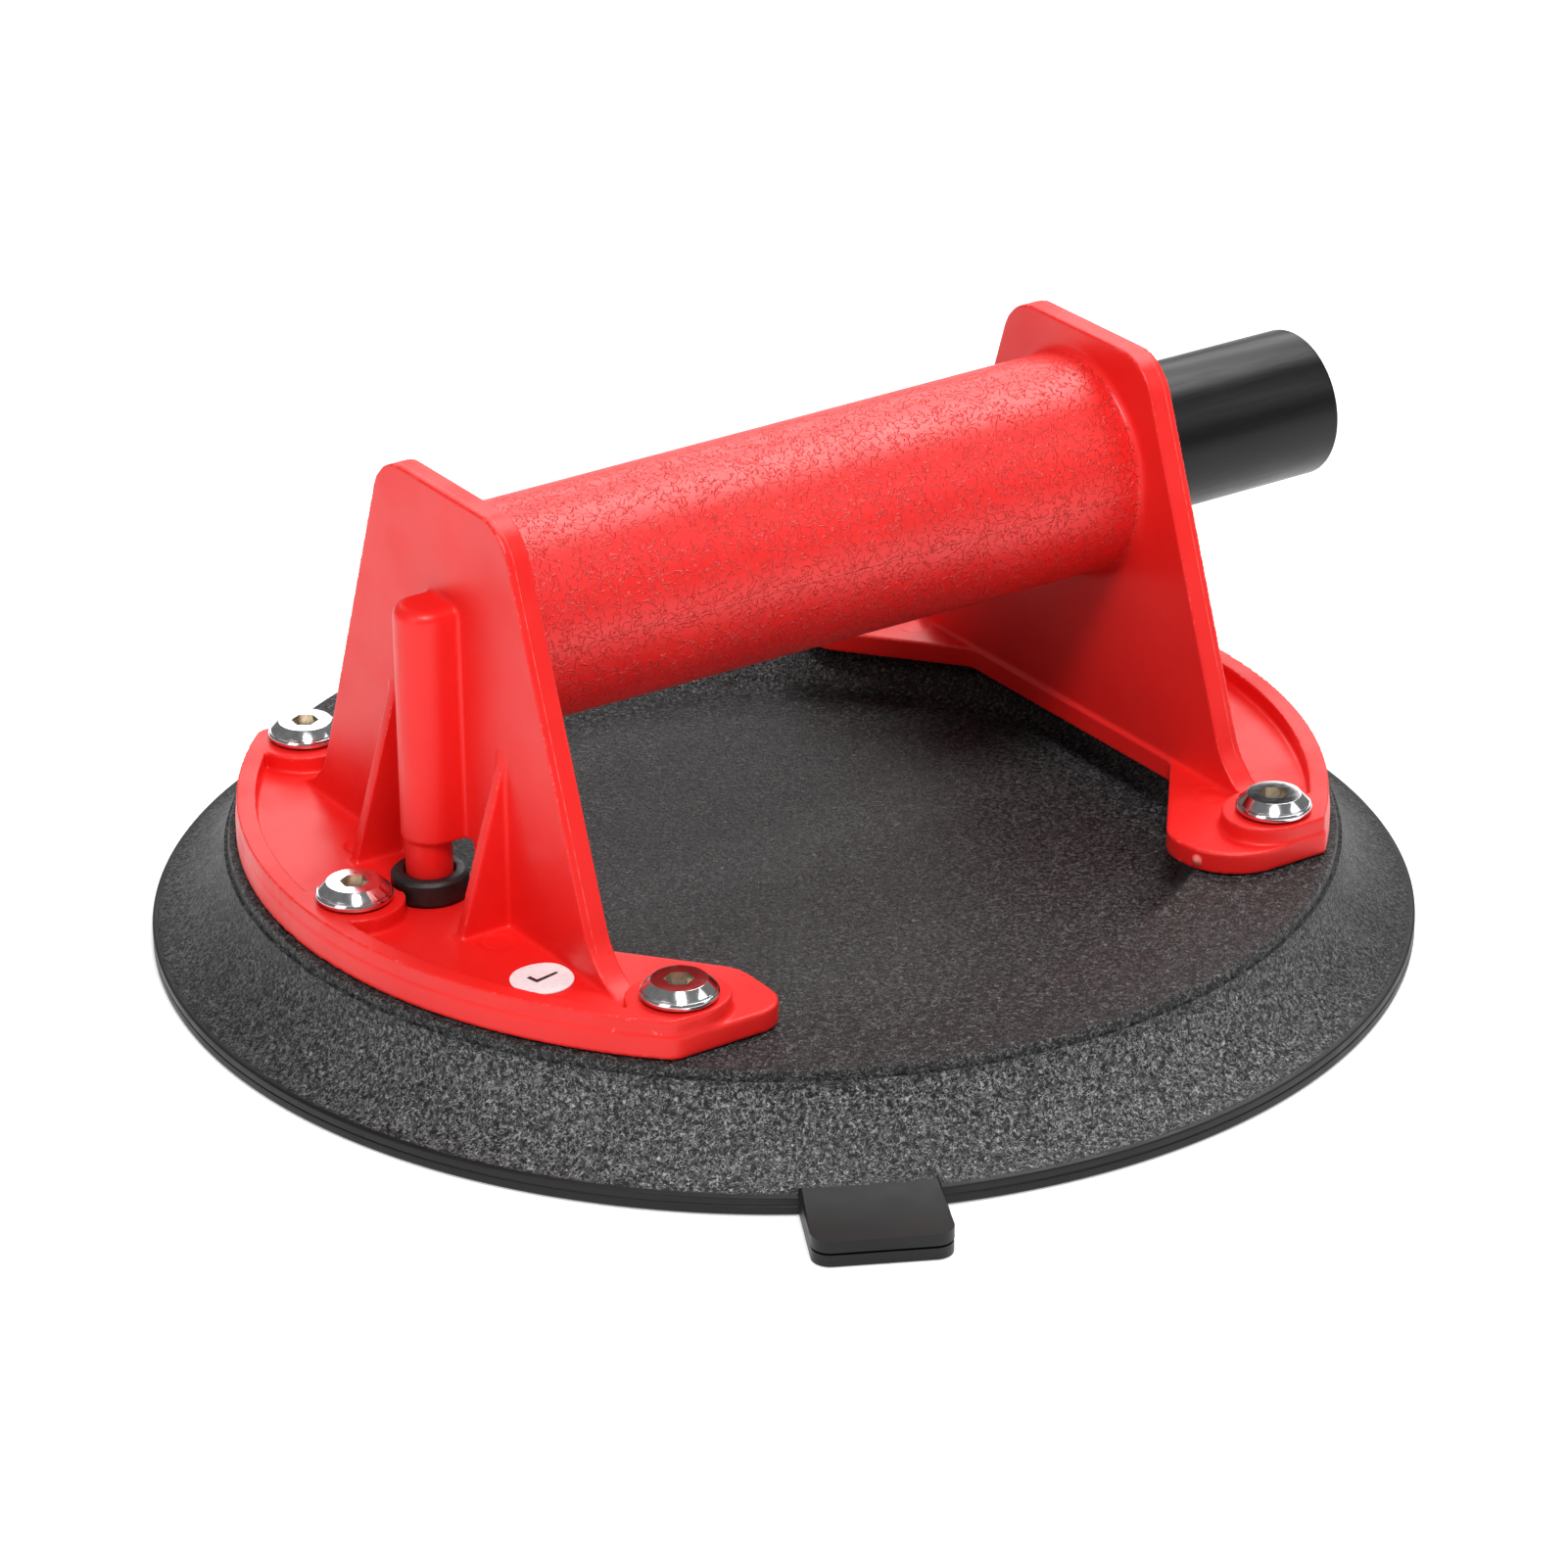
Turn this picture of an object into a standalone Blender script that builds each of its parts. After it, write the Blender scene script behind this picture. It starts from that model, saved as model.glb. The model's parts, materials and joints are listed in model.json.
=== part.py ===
"""Hand vacuum suction cup, 203 mm pad, with a hand pump inside its tubular handle.

Frame: origin at the centre of the sealing plane, +Z up, handle axis along X with the plunger at +X,
lift tab of the pad towards -Y. Built in metres.
"""

import math

import bmesh
import bpy
from mathutils import Matrix, Vector

MM = 0.001
GAP = 0.3 * MM

# Rubber pad, turned about Z
PAD_R = 101.5 * MM
RING_TOP = 17.05 * MM
RING_OUTER_R = 89.2 * MM
RING_INNER_R = 69.2 * MM
BOWL_FLOOR_R = 62.5 * MM
BOWL_FLOOR = 10.0 * MM
LIP_H = 3.1 * MM
SEAL_INNER_R = 97.5 * MM
CAVITY_H = 4.6 * MM
CAVITY_R = 88.0 * MM
TAB_ANGLE = math.radians(-116.7)
TAB_REACH = 116.5 * MM
TAB_W = 21.0 * MM
TAB_H = 4.2 * MM

# Handle moulding
AXIS_Z = 64.2 * MM
TUBE_R_LEFT = 17.5 * MM
TUBE_R_RIGHT = 18.2 * MM
BORE_R = 14.5 * MM
BORE_END_X = -50.0 * MM
PLATE_IN = 57.5 * MM
PLATE_OUT = 61.5 * MM
PLATE_TOP = 86.9 * MM
PLATE_HALF_W = 27.5 * MM
PLATE_HALF_W_Z = 60.0 * MM
PLATE_SLOPE = 0.36
FLANGE_LOW = RING_TOP + GAP
FLANGE_FLOOR = 20.9 * MM
FLANGE_TOP = 23.7 * MM
FLANGE_R = 87.4 * MM
RIM_IN_R = 84.0 * MM
FLANGE_IN_X = 57.0 * MM
EAR_IN_X = 40.2 * MM
EAR_Y = 62.6 * MM
EAR_CORNER_R = {1: 0.7 * MM, -1: 4.0 * MM}
EAR_INNER_R = {1: 10.5 * MM, -1: 5.5 * MM}
EAR_INNER_Y = 27.5 * MM
EAR_KNEE_Y = 48.4 * MM

# Screws: six on one circle
SCREW_CIRCLE_R = 78.9 * MM
SCREW_ANGLES = (-45.0, 0.0, 45.0, 135.0, 180.0, -135.0)
BOSS_R = 8.3 * MM
MID_BOSS_R = 7.8 * MM
HEAD_R = 6.0 * MM
HEAD_H = 2.7 * MM
HEAD_FLAT_R = 4.2 * MM
SHANK_R = 2.6 * MM
SOCKET_AF = 4.0 * MM
SOCKET_DEPTH = 2.2 * MM
INSERT_R = 4.0 * MM
INSERT_FLANGE_R = 5.4 * MM
INSERT_BORE_R = SHANK_R + GAP
STIFFENER_LOW = 8.4 * MM
STIFFENER_T = 1.6 * MM
STIFFENER_IN_R = 71.0 * MM
STIFFENER_OUT_R = 86.4 * MM

# Air duct on the left bracket
PILLAR_X = -64.8 * MM
DUCT_X = -65.5 * MM
PILLAR_R = 4.8 * MM
PILLAR_LOW = 31.0 * MM
PILLAR_TOP = 69.5 * MM
SPIGOT_R = 3.7 * MM
COLLAR_ROOM_R = 6.5 * MM
SPIGOT_LOW = 23.8 * MM
DUCT_R = 1.8 * MM
GUSSET_Y = 16.0 * MM
GUSSET_T = 2.0 * MM
GUSSET_FOOT_X = 70.2 * MM
GUSSET_TOP = 50.0 * MM
GROMMET_R = 6.1 * MM
GROMMET_NECK_R = 4.4 * MM
GROMMET_TOP = 25.2 * MM
PORT_LOW = 9.0 * MM
PORT_BOSS_R = 8.0 * MM
FILTER_R = 4.6 * MM

# Pump, along X
PLUNGER_R = 12.2 * MM
PLUNGER_END_X = 102.5 * MM
PLUNGER_WALL = 2.2 * MM
PLUNGER_START_X = 47.0 * MM
BUSH_X = (47.0 * MM, 58.2 * MM)
CLIP_X = (58.7 * MM, 59.9 * MM)
CLIP_R = 15.6 * MM
STROKE = 36.0 * MM
SPRING_WIRE_R = 0.6 * MM
SPRING_R = 9.0 * MM
SPRING_TURNS = 10
SPRING_X = (-43.6 * MM, 40.0 * MM)
PISTON_X = (41.0 * MM, 42.5 * MM, 44.9 * MM, 46.7 * MM)

PAD_STEPS = 64
ROUND_STEPS = 36
SMALL_STEPS = 20
HOLE_STEPS = 12


def clear_scene():
    for obj in list(bpy.data.objects):
        bpy.data.objects.remove(obj, do_unlink=True)


def principled(name, colour, roughness, metallic=0.0):
    material = bpy.data.materials.new(name)
    material.use_nodes = True
    shader = material.node_tree.nodes["Principled BSDF"]
    shader.inputs["Base Color"].default_value = (*colour, 1.0)
    shader.inputs["Roughness"].default_value = roughness
    shader.inputs["Metallic"].default_value = metallic
    return material


def red_abs():
    return principled("red_abs", (0.78, 0.035, 0.035), 0.42)


def black_rubber(name):
    return principled(name, (0.018, 0.018, 0.018), 0.6)


def black_plastic(name):
    return principled(name, (0.015, 0.016, 0.018), 0.35)


def chrome(name):
    return principled(name, (0.82, 0.82, 0.84), 0.12, 1.0)


def steel(name):
    return principled(name, (0.55, 0.55, 0.56), 0.35, 1.0)


def place(name, bm, material=None, smooth_angle=40.0):
    """Turns a bmesh into an object. Without a material it is a hidden operand of a Boolean."""
    bmesh.ops.recalc_face_normals(bm, faces=bm.faces)
    mesh = bpy.data.meshes.new(name)
    bm.to_mesh(mesh)
    bm.free()
    mesh.shade_smooth()
    mesh.set_sharp_from_angle(angle=math.radians(smooth_angle))
    obj = bpy.data.objects.new(name, mesh)
    bpy.context.collection.objects.link(obj)
    if material is None:
        obj.hide_render = True
        obj.display_type = "WIRE"
    else:
        mesh.materials.append(material)
    return obj


def along_x(obj):
    """Lays an object that was turned about its own Z on the pump axis, with that Z along +X."""
    obj.rotation_euler = (0.0, math.pi / 2, 0.0)
    obj.location = (0.0, 0.0, AXIS_Z)
    return obj


def combine(target, operand, operation):
    modifier = target.modifiers.new(operand.name, "BOOLEAN")
    modifier.operation = operation
    modifier.object = operand
    modifier.solver = "EXACT"


def turned(profile, steps=ROUND_STEPS, closed=False):
    """Turns (radius, height) points about Z. A point at radius 0 is a pole."""
    bm = bmesh.new()
    rings = []
    for radius, height in profile:
        count = 1 if radius == 0.0 else steps
        ring = []
        for step in range(count):
            angle = 2 * math.pi * (step + 0.5) / steps
            ring.append(bm.verts.new((radius * math.cos(angle), radius * math.sin(angle), height)))
        rings.append(ring)
    pairs = list(zip(rings, rings[1:]))
    if closed:
        pairs.append((rings[-1], rings[0]))
    for low, high in pairs:
        for step in range(steps):
            after = (step + 1) % steps
            if len(low) == 1 and len(high) == 1:
                continue
            if len(low) == 1:
                bm.faces.new((low[0], high[after], high[step]))
            elif len(high) == 1:
                bm.faces.new((low[step], low[after], high[0]))
            else:
                bm.faces.new((low[step], low[after], high[after], high[step]))
    return bm


def rounded(corners, steps=5):
    """Outline through (x, y, radius) corners, each rounded by an arc of its radius."""
    points = []
    count = len(corners)
    for index, (x, y, radius) in enumerate(corners):
        corner = Vector((x, y))
        if radius == 0.0:
            points.append(corner)
            continue
        before = (Vector(corners[index - 1][:2]) - corner).normalized()
        after = (Vector(corners[(index + 1) % count][:2]) - corner).normalized()
        half = before.angle(after) / 2
        centre = corner + (before + after).normalized() * (radius / math.sin(half))
        start = corner + before * (radius / math.tan(half)) - centre
        end = corner + after * (radius / math.tan(half)) - centre
        turn = start.angle_signed(end)
        for step in range(steps + 1):
            angle = -turn * step / steps
            points.append(centre + Vector((
                start.x * math.cos(angle) - start.y * math.sin(angle),
                start.x * math.sin(angle) + start.y * math.cos(angle),
            )))
    return points


def prism(outline, low, high, upright=None):
    """Extrudes an outline in XY from low to high along Z. With upright, in YZ along X, or in XZ along Y."""
    bm = bmesh.new()
    ends = []
    for level in (low, high):
        ring = []
        for a, b in outline:
            if upright == "X":
                place_at = (level, a, b)
            elif upright == "Y":
                place_at = (a, level, b)
            else:
                place_at = (a, b, level)
            ring.append(bm.verts.new(place_at))
        ends.append(ring)
    bottom, top = ends
    count = len(outline)
    for index in range(count):
        after = (index + 1) % count
        bm.faces.new((bottom[index], bottom[after], top[after], top[index]))
    bm.faces.new(bottom)
    bm.faces.new(top)
    return bm


def disc(x, y, radius, steps=SMALL_STEPS):
    points = []
    for step in range(steps):
        angle = 2 * math.pi * (step + 0.5) / steps
        points.append((x + radius * math.cos(angle), y + radius * math.sin(angle)))
    return points


def screw_places():
    places = []
    for angle in SCREW_ANGLES:
        turn = math.radians(angle)
        places.append((SCREW_CIRCLE_R * math.cos(turn), SCREW_CIRCLE_R * math.sin(turn)))
    return places


def mirrored(outline, side):
    return [(side * x, y) for x, y in outline]


def flange_outline(side):
    """Base layer of one bracket, drawn at +X: a segment of the ring with an ear at each end."""
    end_x = math.sqrt(FLANGE_R**2 - EAR_Y**2)
    ear = [
        (FLANGE_IN_X, -EAR_INNER_Y, 4.0 * MM),
        (EAR_IN_X, -EAR_KNEE_Y, 8.0 * MM),
        (EAR_IN_X, -EAR_Y, EAR_INNER_R[side]),
        (end_x, -EAR_Y, EAR_CORNER_R[side]),
    ]
    reach = math.degrees(math.atan2(EAR_Y, end_x))
    steps = 18
    arc = []
    for step in range(1, steps):
        angle = math.radians(-reach + 2 * reach * step / steps)
        arc.append((FLANGE_R * math.cos(angle), FLANGE_R * math.sin(angle), 0.0))
    other_ear = [(x, -y, radius) for x, y, radius in reversed(ear)]
    return [tuple(point) for point in rounded(ear + arc + other_ear)]


def rim_outline():
    """Raised rim along the outer arc of the flange."""
    reach = math.degrees(math.asin((EAR_Y - GAP) / FLANGE_R))
    steps = 20
    points = []
    for radius, order in ((FLANGE_R - 0.2 * MM, range(steps + 1)), (RIM_IN_R, range(steps, -1, -1))):
        for step in order:
            angle = math.radians(-reach + 2 * reach * step / steps)
            points.append((radius * math.cos(angle), radius * math.sin(angle)))
    return points


def plate_outline(window):
    """Trapezoid side plate with rounded top corners and feet that sweep out on to the flange."""
    base = FLANGE_FLOOR - 0.3 * MM
    foot_w = PLATE_HALF_W + PLATE_SLOPE * (PLATE_HALF_W_Z - base)
    top_w = PLATE_HALF_W - PLATE_SLOPE * (PLATE_TOP - PLATE_HALF_W_Z)
    low = FLANGE_LOW + 1.0 * MM
    corners = [
        (-foot_w - 11.0 * MM, base, 0.0),
        (-foot_w, base, 12.0 * MM),
        (-top_w, PLATE_TOP, 8.5 * MM),
        (top_w, PLATE_TOP, 8.5 * MM),
        (foot_w, base, 12.0 * MM),
        (foot_w + 11.0 * MM, base, 0.0),
        (foot_w + 11.0 * MM, low, 0.0),
    ]
    if window:
        half = 6.9 * MM
        corners += [
            (half, low, 0.0),
            (half, PILLAR_LOW, 0.0),
            (-half, PILLAR_LOW, 0.0),
            (-half, low, 0.0),
        ]
    corners.append((-foot_w - 11.0 * MM, low, 0.0))
    return [tuple(point) for point in rounded(corners)]


def boss_outline(x, y):
    """Round boss. On an ear its outer half is flattened, so that it ends just inside the ear's edge."""
    if abs(y) < MM:
        return disc(x, y, MID_BOSS_R)
    squash = (EAR_Y - 0.4 * MM - abs(y)) / BOSS_R
    points = []
    for px, py in disc(x, y, BOSS_R, 28):
        outward = (py - y) * y > 0.0
        points.append((px, y + (py - y) * (squash if outward else 1.0)))
    return points


def bracket_operands(side):
    """Base, rim, bosses and plate of one end of the handle. side is +1 or -1."""
    name = "right" if side > 0 else "left"
    made = [place(name + "_plate_op", prism(
        plate_outline(side < 0), side * PLATE_IN, side * PLATE_OUT, "X"))]
    made.append(place(name + "_base_op", prism(
        mirrored(flange_outline(side), side), FLANGE_LOW, FLANGE_FLOOR)))
    made.append(place(name + "_rim_op", prism(
        mirrored(rim_outline(), side), FLANGE_FLOOR - 0.5 * MM, FLANGE_TOP)))
    for index, (x, y) in enumerate(screw_places()):
        if x * side > 0:
            boss = prism(boss_outline(x, y), FLANGE_FLOOR - 0.4 * MM, FLANGE_TOP)
            made.append(place("boss_op_%d" % index, boss))
    return made


def duct_operands():
    """Air-duct pillar, its spigot and the two gussets on the left plate."""
    root = -PLATE_OUT + 1.0 * MM
    shape = [(root, PILLAR_R), (root, -PILLAR_R)]
    steps = 12
    for step in range(steps + 1):
        angle = math.radians(-90.0 - 180.0 * step / steps)
        shape.append((PILLAR_X + PILLAR_R * math.cos(angle), PILLAR_R * math.sin(angle)))
    made = [place("pillar_op", prism(shape, PILLAR_LOW + 0.1 * MM, PILLAR_TOP))]
    made.append(place("spigot_op", prism(
        disc(DUCT_X, 0.0, SPIGOT_R - 0.05 * MM), SPIGOT_LOW, PILLAR_LOW + 2.0 * MM)))
    low = FLANGE_FLOOR - 0.35 * MM
    gusset = [(root, low), (-GUSSET_FOOT_X, low), (-PLATE_OUT, GUSSET_TOP), (root, GUSSET_TOP)]
    for sign in (-1, 1):
        centre = sign * GUSSET_Y
        made.append(place("gusset_op_%d" % (sign > 0), prism(
            gusset, centre - GUSSET_T / 2, centre + GUSSET_T / 2, "Y")))
    return made


def handle_body():
    """Tube, side plates and flanges in one moulding, bored for the pump."""
    overlap = 1.5 * MM
    tube = [
        (0.0, -PLATE_IN - overlap),
        (TUBE_R_LEFT, -PLATE_IN - overlap),
        (TUBE_R_RIGHT, PLATE_IN + overlap),
        (0.0, PLATE_IN + overlap),
    ]
    handle = along_x(place("handle_body", turned(tube), red_abs()))
    for operand in bracket_operands(1) + bracket_operands(-1) + duct_operands():
        combine(handle, operand, "UNION")
    past = PLATE_OUT + 2.0 * MM
    bore = [(0.0, BORE_END_X), (BORE_R, BORE_END_X), (BORE_R, CLIP_X[0] - GAP), (CLIP_R + GAP, CLIP_X[0] - GAP),
            (CLIP_R + GAP, CLIP_X[1] + GAP), (BORE_R, CLIP_X[1] + GAP), (BORE_R, past), (0.0, past)]
    combine(handle, along_x(place("bore_op", turned(bore))), "DIFFERENCE")
    duct = place("duct_op", prism(disc(DUCT_X, 0.0, DUCT_R, 12), SPIGOT_LOW - 2.0 * MM, AXIS_Z + DUCT_R))
    combine(handle, duct, "DIFFERENCE")
    inlet_start = DUCT_X - 0.4 * MM
    inlet = [(0.0, inlet_start), (DUCT_R - 0.2 * MM, inlet_start),
             (DUCT_R - 0.2 * MM, BORE_END_X + 1.0 * MM), (0.0, BORE_END_X + 1.0 * MM)]
    combine(handle, along_x(place("inlet_op", turned(inlet, 12))), "DIFFERENCE")
    for index, (x, y) in enumerate(screw_places()):
        hole = place("flange_hole_%d" % index, prism(
            disc(x, y, SHANK_R + 0.5 * MM, HOLE_STEPS), FLANGE_LOW - MM, FLANGE_TOP + MM))
        combine(handle, hole, "DIFFERENCE")
    socket = place("grommet_hole", prism(
        disc(DUCT_X, 0.0, GROMMET_NECK_R + GAP, 20), FLANGE_LOW - MM, FLANGE_FLOOR + 0.2 * MM))
    combine(handle, socket, "DIFFERENCE")
    room = place("collar_room", prism(
        disc(DUCT_X, 0.0, COLLAR_ROOM_R, 28), FLANGE_FLOOR - 0.05 * MM, SPIGOT_LOW - 0.05 * MM))
    combine(handle, room, "DIFFERENCE")
    return handle


def flare(steps=5):
    """Quarter-ellipse flare of the pad, hollow side up, from the ring's edge down to the lip."""
    top, low = RING_TOP - 1.4 * MM, LIP_H + 0.1 * MM
    start, end = RING_OUTER_R + 0.2 * MM, PAD_R - 0.7 * MM
    points = []
    for step in range(steps + 1):
        angle = math.radians(8.0 + 74.0 * step / steps)
        first, last = math.radians(8.0), math.radians(82.0)
        across = (math.cos(first) - math.cos(angle)) / (math.cos(first) - math.cos(last))
        down = (math.sin(angle) - math.sin(first)) / (math.sin(last) - math.sin(first))
        points.append((start + (end - start) * across, top - (top - low) * down))
    return points


def vacuum_pad():
    """Thick ring, bowl, flared sealing lip and lift tab of the rubber pad."""
    ring_edge = [
        (0.0, BOWL_FLOOR),
        (BOWL_FLOOR_R, BOWL_FLOOR),
        (BOWL_FLOOR_R + 1.5 * MM, BOWL_FLOOR + 0.6 * MM),
        (RING_INNER_R - 1.4 * MM, RING_TOP - 1.2 * MM),
        (RING_INNER_R, RING_TOP),
        (RING_OUTER_R - 0.6 * MM, RING_TOP),
        (RING_OUTER_R, RING_TOP - 0.6 * MM),
    ]
    lip = [
        (PAD_R, LIP_H - 0.5 * MM),
        (PAD_R, 0.0),
        (SEAL_INNER_R, 0.0),
        (SEAL_INNER_R - 4.0 * MM, 2.6 * MM),
        (CAVITY_R, CAVITY_H),
        (0.0, CAVITY_H),
    ]
    pad = place("vacuum_pad", turned(ring_edge + flare() + lip, PAD_STEPS), black_rubber("pad_rubber"), 30.0)
    combine(pad, place("tab_op", lift_tab()), "UNION")
    boss = place("port_boss_op", prism(
        disc(DUCT_X, 0.0, PORT_BOSS_R), BOWL_FLOOR - 2.0 * MM, RING_TOP))
    combine(pad, boss, "UNION")
    ring_hollow = [
        (STIFFENER_IN_R - GAP, STIFFENER_LOW - GAP),
        (STIFFENER_OUT_R + GAP, STIFFENER_LOW - GAP),
        (STIFFENER_OUT_R + GAP, STIFFENER_LOW + STIFFENER_T + GAP),
        (STIFFENER_IN_R - GAP, STIFFENER_LOW + STIFFENER_T + GAP),
    ]
    combine(pad, place("ring_hollow_op", turned(ring_hollow, closed=True)), "DIFFERENCE")
    low = STIFFENER_LOW - 2.0 * MM
    for index, (x, y) in enumerate(screw_places()):
        pocket = [(0.0, low), (INSERT_FLANGE_R + GAP, low), (INSERT_FLANGE_R + GAP, STIFFENER_LOW + 0.1 * MM),
                  (INSERT_R + GAP, STIFFENER_LOW + 0.1 * MM), (INSERT_R + GAP, RING_TOP + MM), (0.0, RING_TOP + MM)]
        cutter = place("insert_pocket_%d" % index, turned(pocket, HOLE_STEPS))
        cutter.location = (x, y, 0.0)
        combine(pad, cutter, "DIFFERENCE")
    port = [(0.0, CAVITY_H - MM), (FILTER_R + GAP, CAVITY_H - MM), (FILTER_R + GAP, CAVITY_H + 2.2 * MM),
            (DUCT_R + GAP, CAVITY_H + 2.2 * MM), (DUCT_R + GAP, PORT_LOW), (GROMMET_NECK_R + GAP, PORT_LOW),
            (GROMMET_NECK_R + GAP, RING_TOP + MM), (0.0, RING_TOP + MM)]
    cutter = place("air_port_op", turned(port, 20))
    cutter.location = (DUCT_X, 0.0, 0.0)
    combine(pad, cutter, "DIFFERENCE")
    return pad


def lift_tab():
    """Square lift tab under the flare, in two layers, pointing away from the pad's centre."""
    half = TAB_W / 2
    root = PAD_R - 6.0 * MM
    outline = rounded([
        (root, -half, 0.0),
        (TAB_REACH, -half, 3.0 * MM),
        (TAB_REACH, half, 3.0 * MM),
        (root, half, 0.0),
    ])
    bm = prism([tuple(point) for point in outline], 0.0, TAB_H)
    bmesh.ops.rotate(bm, verts=bm.verts, matrix=Matrix.Rotation(TAB_ANGLE, 3, "Z"))
    return bm


def stiffener_ring():
    """Pressed steel ring moulded into the pad, pierced for the inserts."""
    profile = [
        (STIFFENER_IN_R, STIFFENER_LOW),
        (STIFFENER_OUT_R, STIFFENER_LOW),
        (STIFFENER_OUT_R, STIFFENER_LOW + STIFFENER_T),
        (STIFFENER_IN_R, STIFFENER_LOW + STIFFENER_T),
    ]
    ring = place("stiffener_ring", turned(profile, closed=True), steel("stiffener_steel"))
    for index, (x, y) in enumerate(screw_places()):
        hole = place("stiffener_hole_%d" % index, prism(
            disc(x, y, INSERT_R + GAP, HOLE_STEPS), STIFFENER_LOW - MM, STIFFENER_LOW + STIFFENER_T + MM))
        combine(ring, hole, "DIFFERENCE")
    return ring


def threaded_inserts():
    """Flanged steel inserts that the clamp screws go into."""
    flange_low = STIFFENER_LOW - 1.7 * MM
    flange_high = STIFFENER_LOW - GAP
    top = RING_TOP - 0.2 * MM
    profile = [
        (INSERT_BORE_R, flange_low),
        (INSERT_FLANGE_R, flange_low),
        (INSERT_FLANGE_R, flange_high),
        (INSERT_R, flange_high),
        (INSERT_R, top),
        (INSERT_BORE_R, top),
    ]
    finish = steel("insert_steel")
    for index, (x, y) in enumerate(screw_places()):
        insert = place("threaded_insert_%d" % (index + 1), turned(profile, HOLE_STEPS, closed=True), finish)
        insert.location = (x, y, 0.0)


def clamp_screws():
    """Flat-topped connector screws with a bevelled head and a hex socket."""
    seat = FLANGE_TOP + GAP
    tip = STIFFENER_LOW - 0.5 * MM
    top = seat + HEAD_H
    profile = [
        (0.0, top),
        (HEAD_FLAT_R, top),
        (HEAD_R, seat + 0.8 * MM),
        (HEAD_R, seat),
        (SHANK_R, seat),
        (SHANK_R, tip),
        (0.0, tip),
    ]
    corner = SOCKET_AF / math.sqrt(3.0)
    finish = chrome("screw_chrome")
    for index, (x, y) in enumerate(screw_places()):
        screw = place("clamp_screw_%d" % (index + 1), turned(profile, SMALL_STEPS), finish)
        screw.location = (x, y, 0.0)
        socket = place("socket_%d" % (index + 1), prism(
            disc(0.0, 0.0, corner, 6), top - SOCKET_DEPTH, top + MM))
        socket.parent = screw
        combine(screw, socket, "DIFFERENCE")


def air_port_grommet():
    """Rubber nipple that seals the duct spigot to the pad's air port."""
    profile = [
        (SPIGOT_R + GAP, GROMMET_TOP - 0.3 * MM),
        (SPIGOT_R + 0.6 * MM, GROMMET_TOP),
        (GROMMET_R - 0.7 * MM, GROMMET_TOP),
        (GROMMET_R, GROMMET_TOP - 0.7 * MM),
        (GROMMET_R, FLANGE_FLOOR + GAP),
        (GROMMET_NECK_R, FLANGE_FLOOR + GAP),
        (GROMMET_NECK_R, PORT_LOW + GAP),
        (DUCT_R, PORT_LOW + GAP),
        (DUCT_R, SPIGOT_LOW - 0.5 * MM),
        (SPIGOT_R + GAP, SPIGOT_LOW - 0.5 * MM),
    ]
    grommet = place("air_port_grommet", turned(profile, SMALL_STEPS, closed=True), black_rubber("grommet_rubber"))
    grommet.location = (DUCT_X, 0.0, 0.0)
    return grommet


def filter_disc():
    """Felt disc that keeps grit out of the air port."""
    low = CAVITY_H + 0.1 * MM
    profile = [(0.0, low), (FILTER_R, low), (FILTER_R, low + 1.6 * MM), (0.0, low + 1.6 * MM)]
    felt = principled("filter_felt", (0.55, 0.53, 0.48), 0.95)
    disc_obj = place("filter_disc", turned(profile, SMALL_STEPS), felt)
    disc_obj.location = (DUCT_X, 0.0, 0.0)
    return disc_obj


def inlet_valve():
    """Loose rubber disc over the inlet hole, and the cage that keeps it and seats the spring."""
    disc_x = BORE_END_X + 0.3 * MM
    disc_profile = [(0.0, disc_x), (5.0 * MM, disc_x), (5.0 * MM, disc_x + 1.2 * MM), (0.0, disc_x + 1.2 * MM)]
    along_x(place("inlet_valve_disc", turned(disc_profile, SMALL_STEPS), black_rubber("valve_rubber")))
    start = BORE_END_X + GAP
    cage_profile = [
        (6.0 * MM, start),
        (13.9 * MM, start),
        (13.9 * MM, start + 1.5 * MM),
        (10.6 * MM, start + 1.5 * MM),
        (10.6 * MM, start + 5.0 * MM),
        (7.6 * MM, start + 5.0 * MM),
        (7.6 * MM, start + 3.6 * MM),
        (2.2 * MM, start + 3.6 * MM),
        (2.2 * MM, start + 2.2 * MM),
        (6.0 * MM, start + 2.2 * MM),
    ]
    white = principled("cage_nylon", (0.72, 0.72, 0.7), 0.45)
    along_x(place("inlet_valve_cage", turned(cage_profile, SMALL_STEPS, closed=True), white))


def return_spring():
    """Compression spring between the valve cage and the piston, as a coiled round wire."""
    turn_steps = 12
    sides = 5
    bm = bmesh.new()
    total = SPRING_TURNS * turn_steps
    rings = []
    for step in range(total + 1):
        share = step / total
        angle = 2 * math.pi * SPRING_TURNS * share
        height = SPRING_X[0] + (SPRING_X[1] - SPRING_X[0]) * share
        outward = Vector((math.cos(angle), math.sin(angle), 0.0))
        ring = []
        for side in range(sides):
            turn = 2 * math.pi * side / sides
            point = outward * (SPRING_R + SPRING_WIRE_R * math.cos(turn))
            point.z = height + SPRING_WIRE_R * math.sin(turn)
            ring.append(bm.verts.new(point))
        rings.append(ring)
    for low, high in zip(rings, rings[1:]):
        for side in range(sides):
            after = (side + 1) % sides
            bm.faces.new((low[side], low[after], high[after], high[side]))
    bm.faces.new(rings[0])
    bm.faces.new(rings[-1])
    return along_x(place("return_spring", bm, steel("spring_steel"), 80.0))


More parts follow.
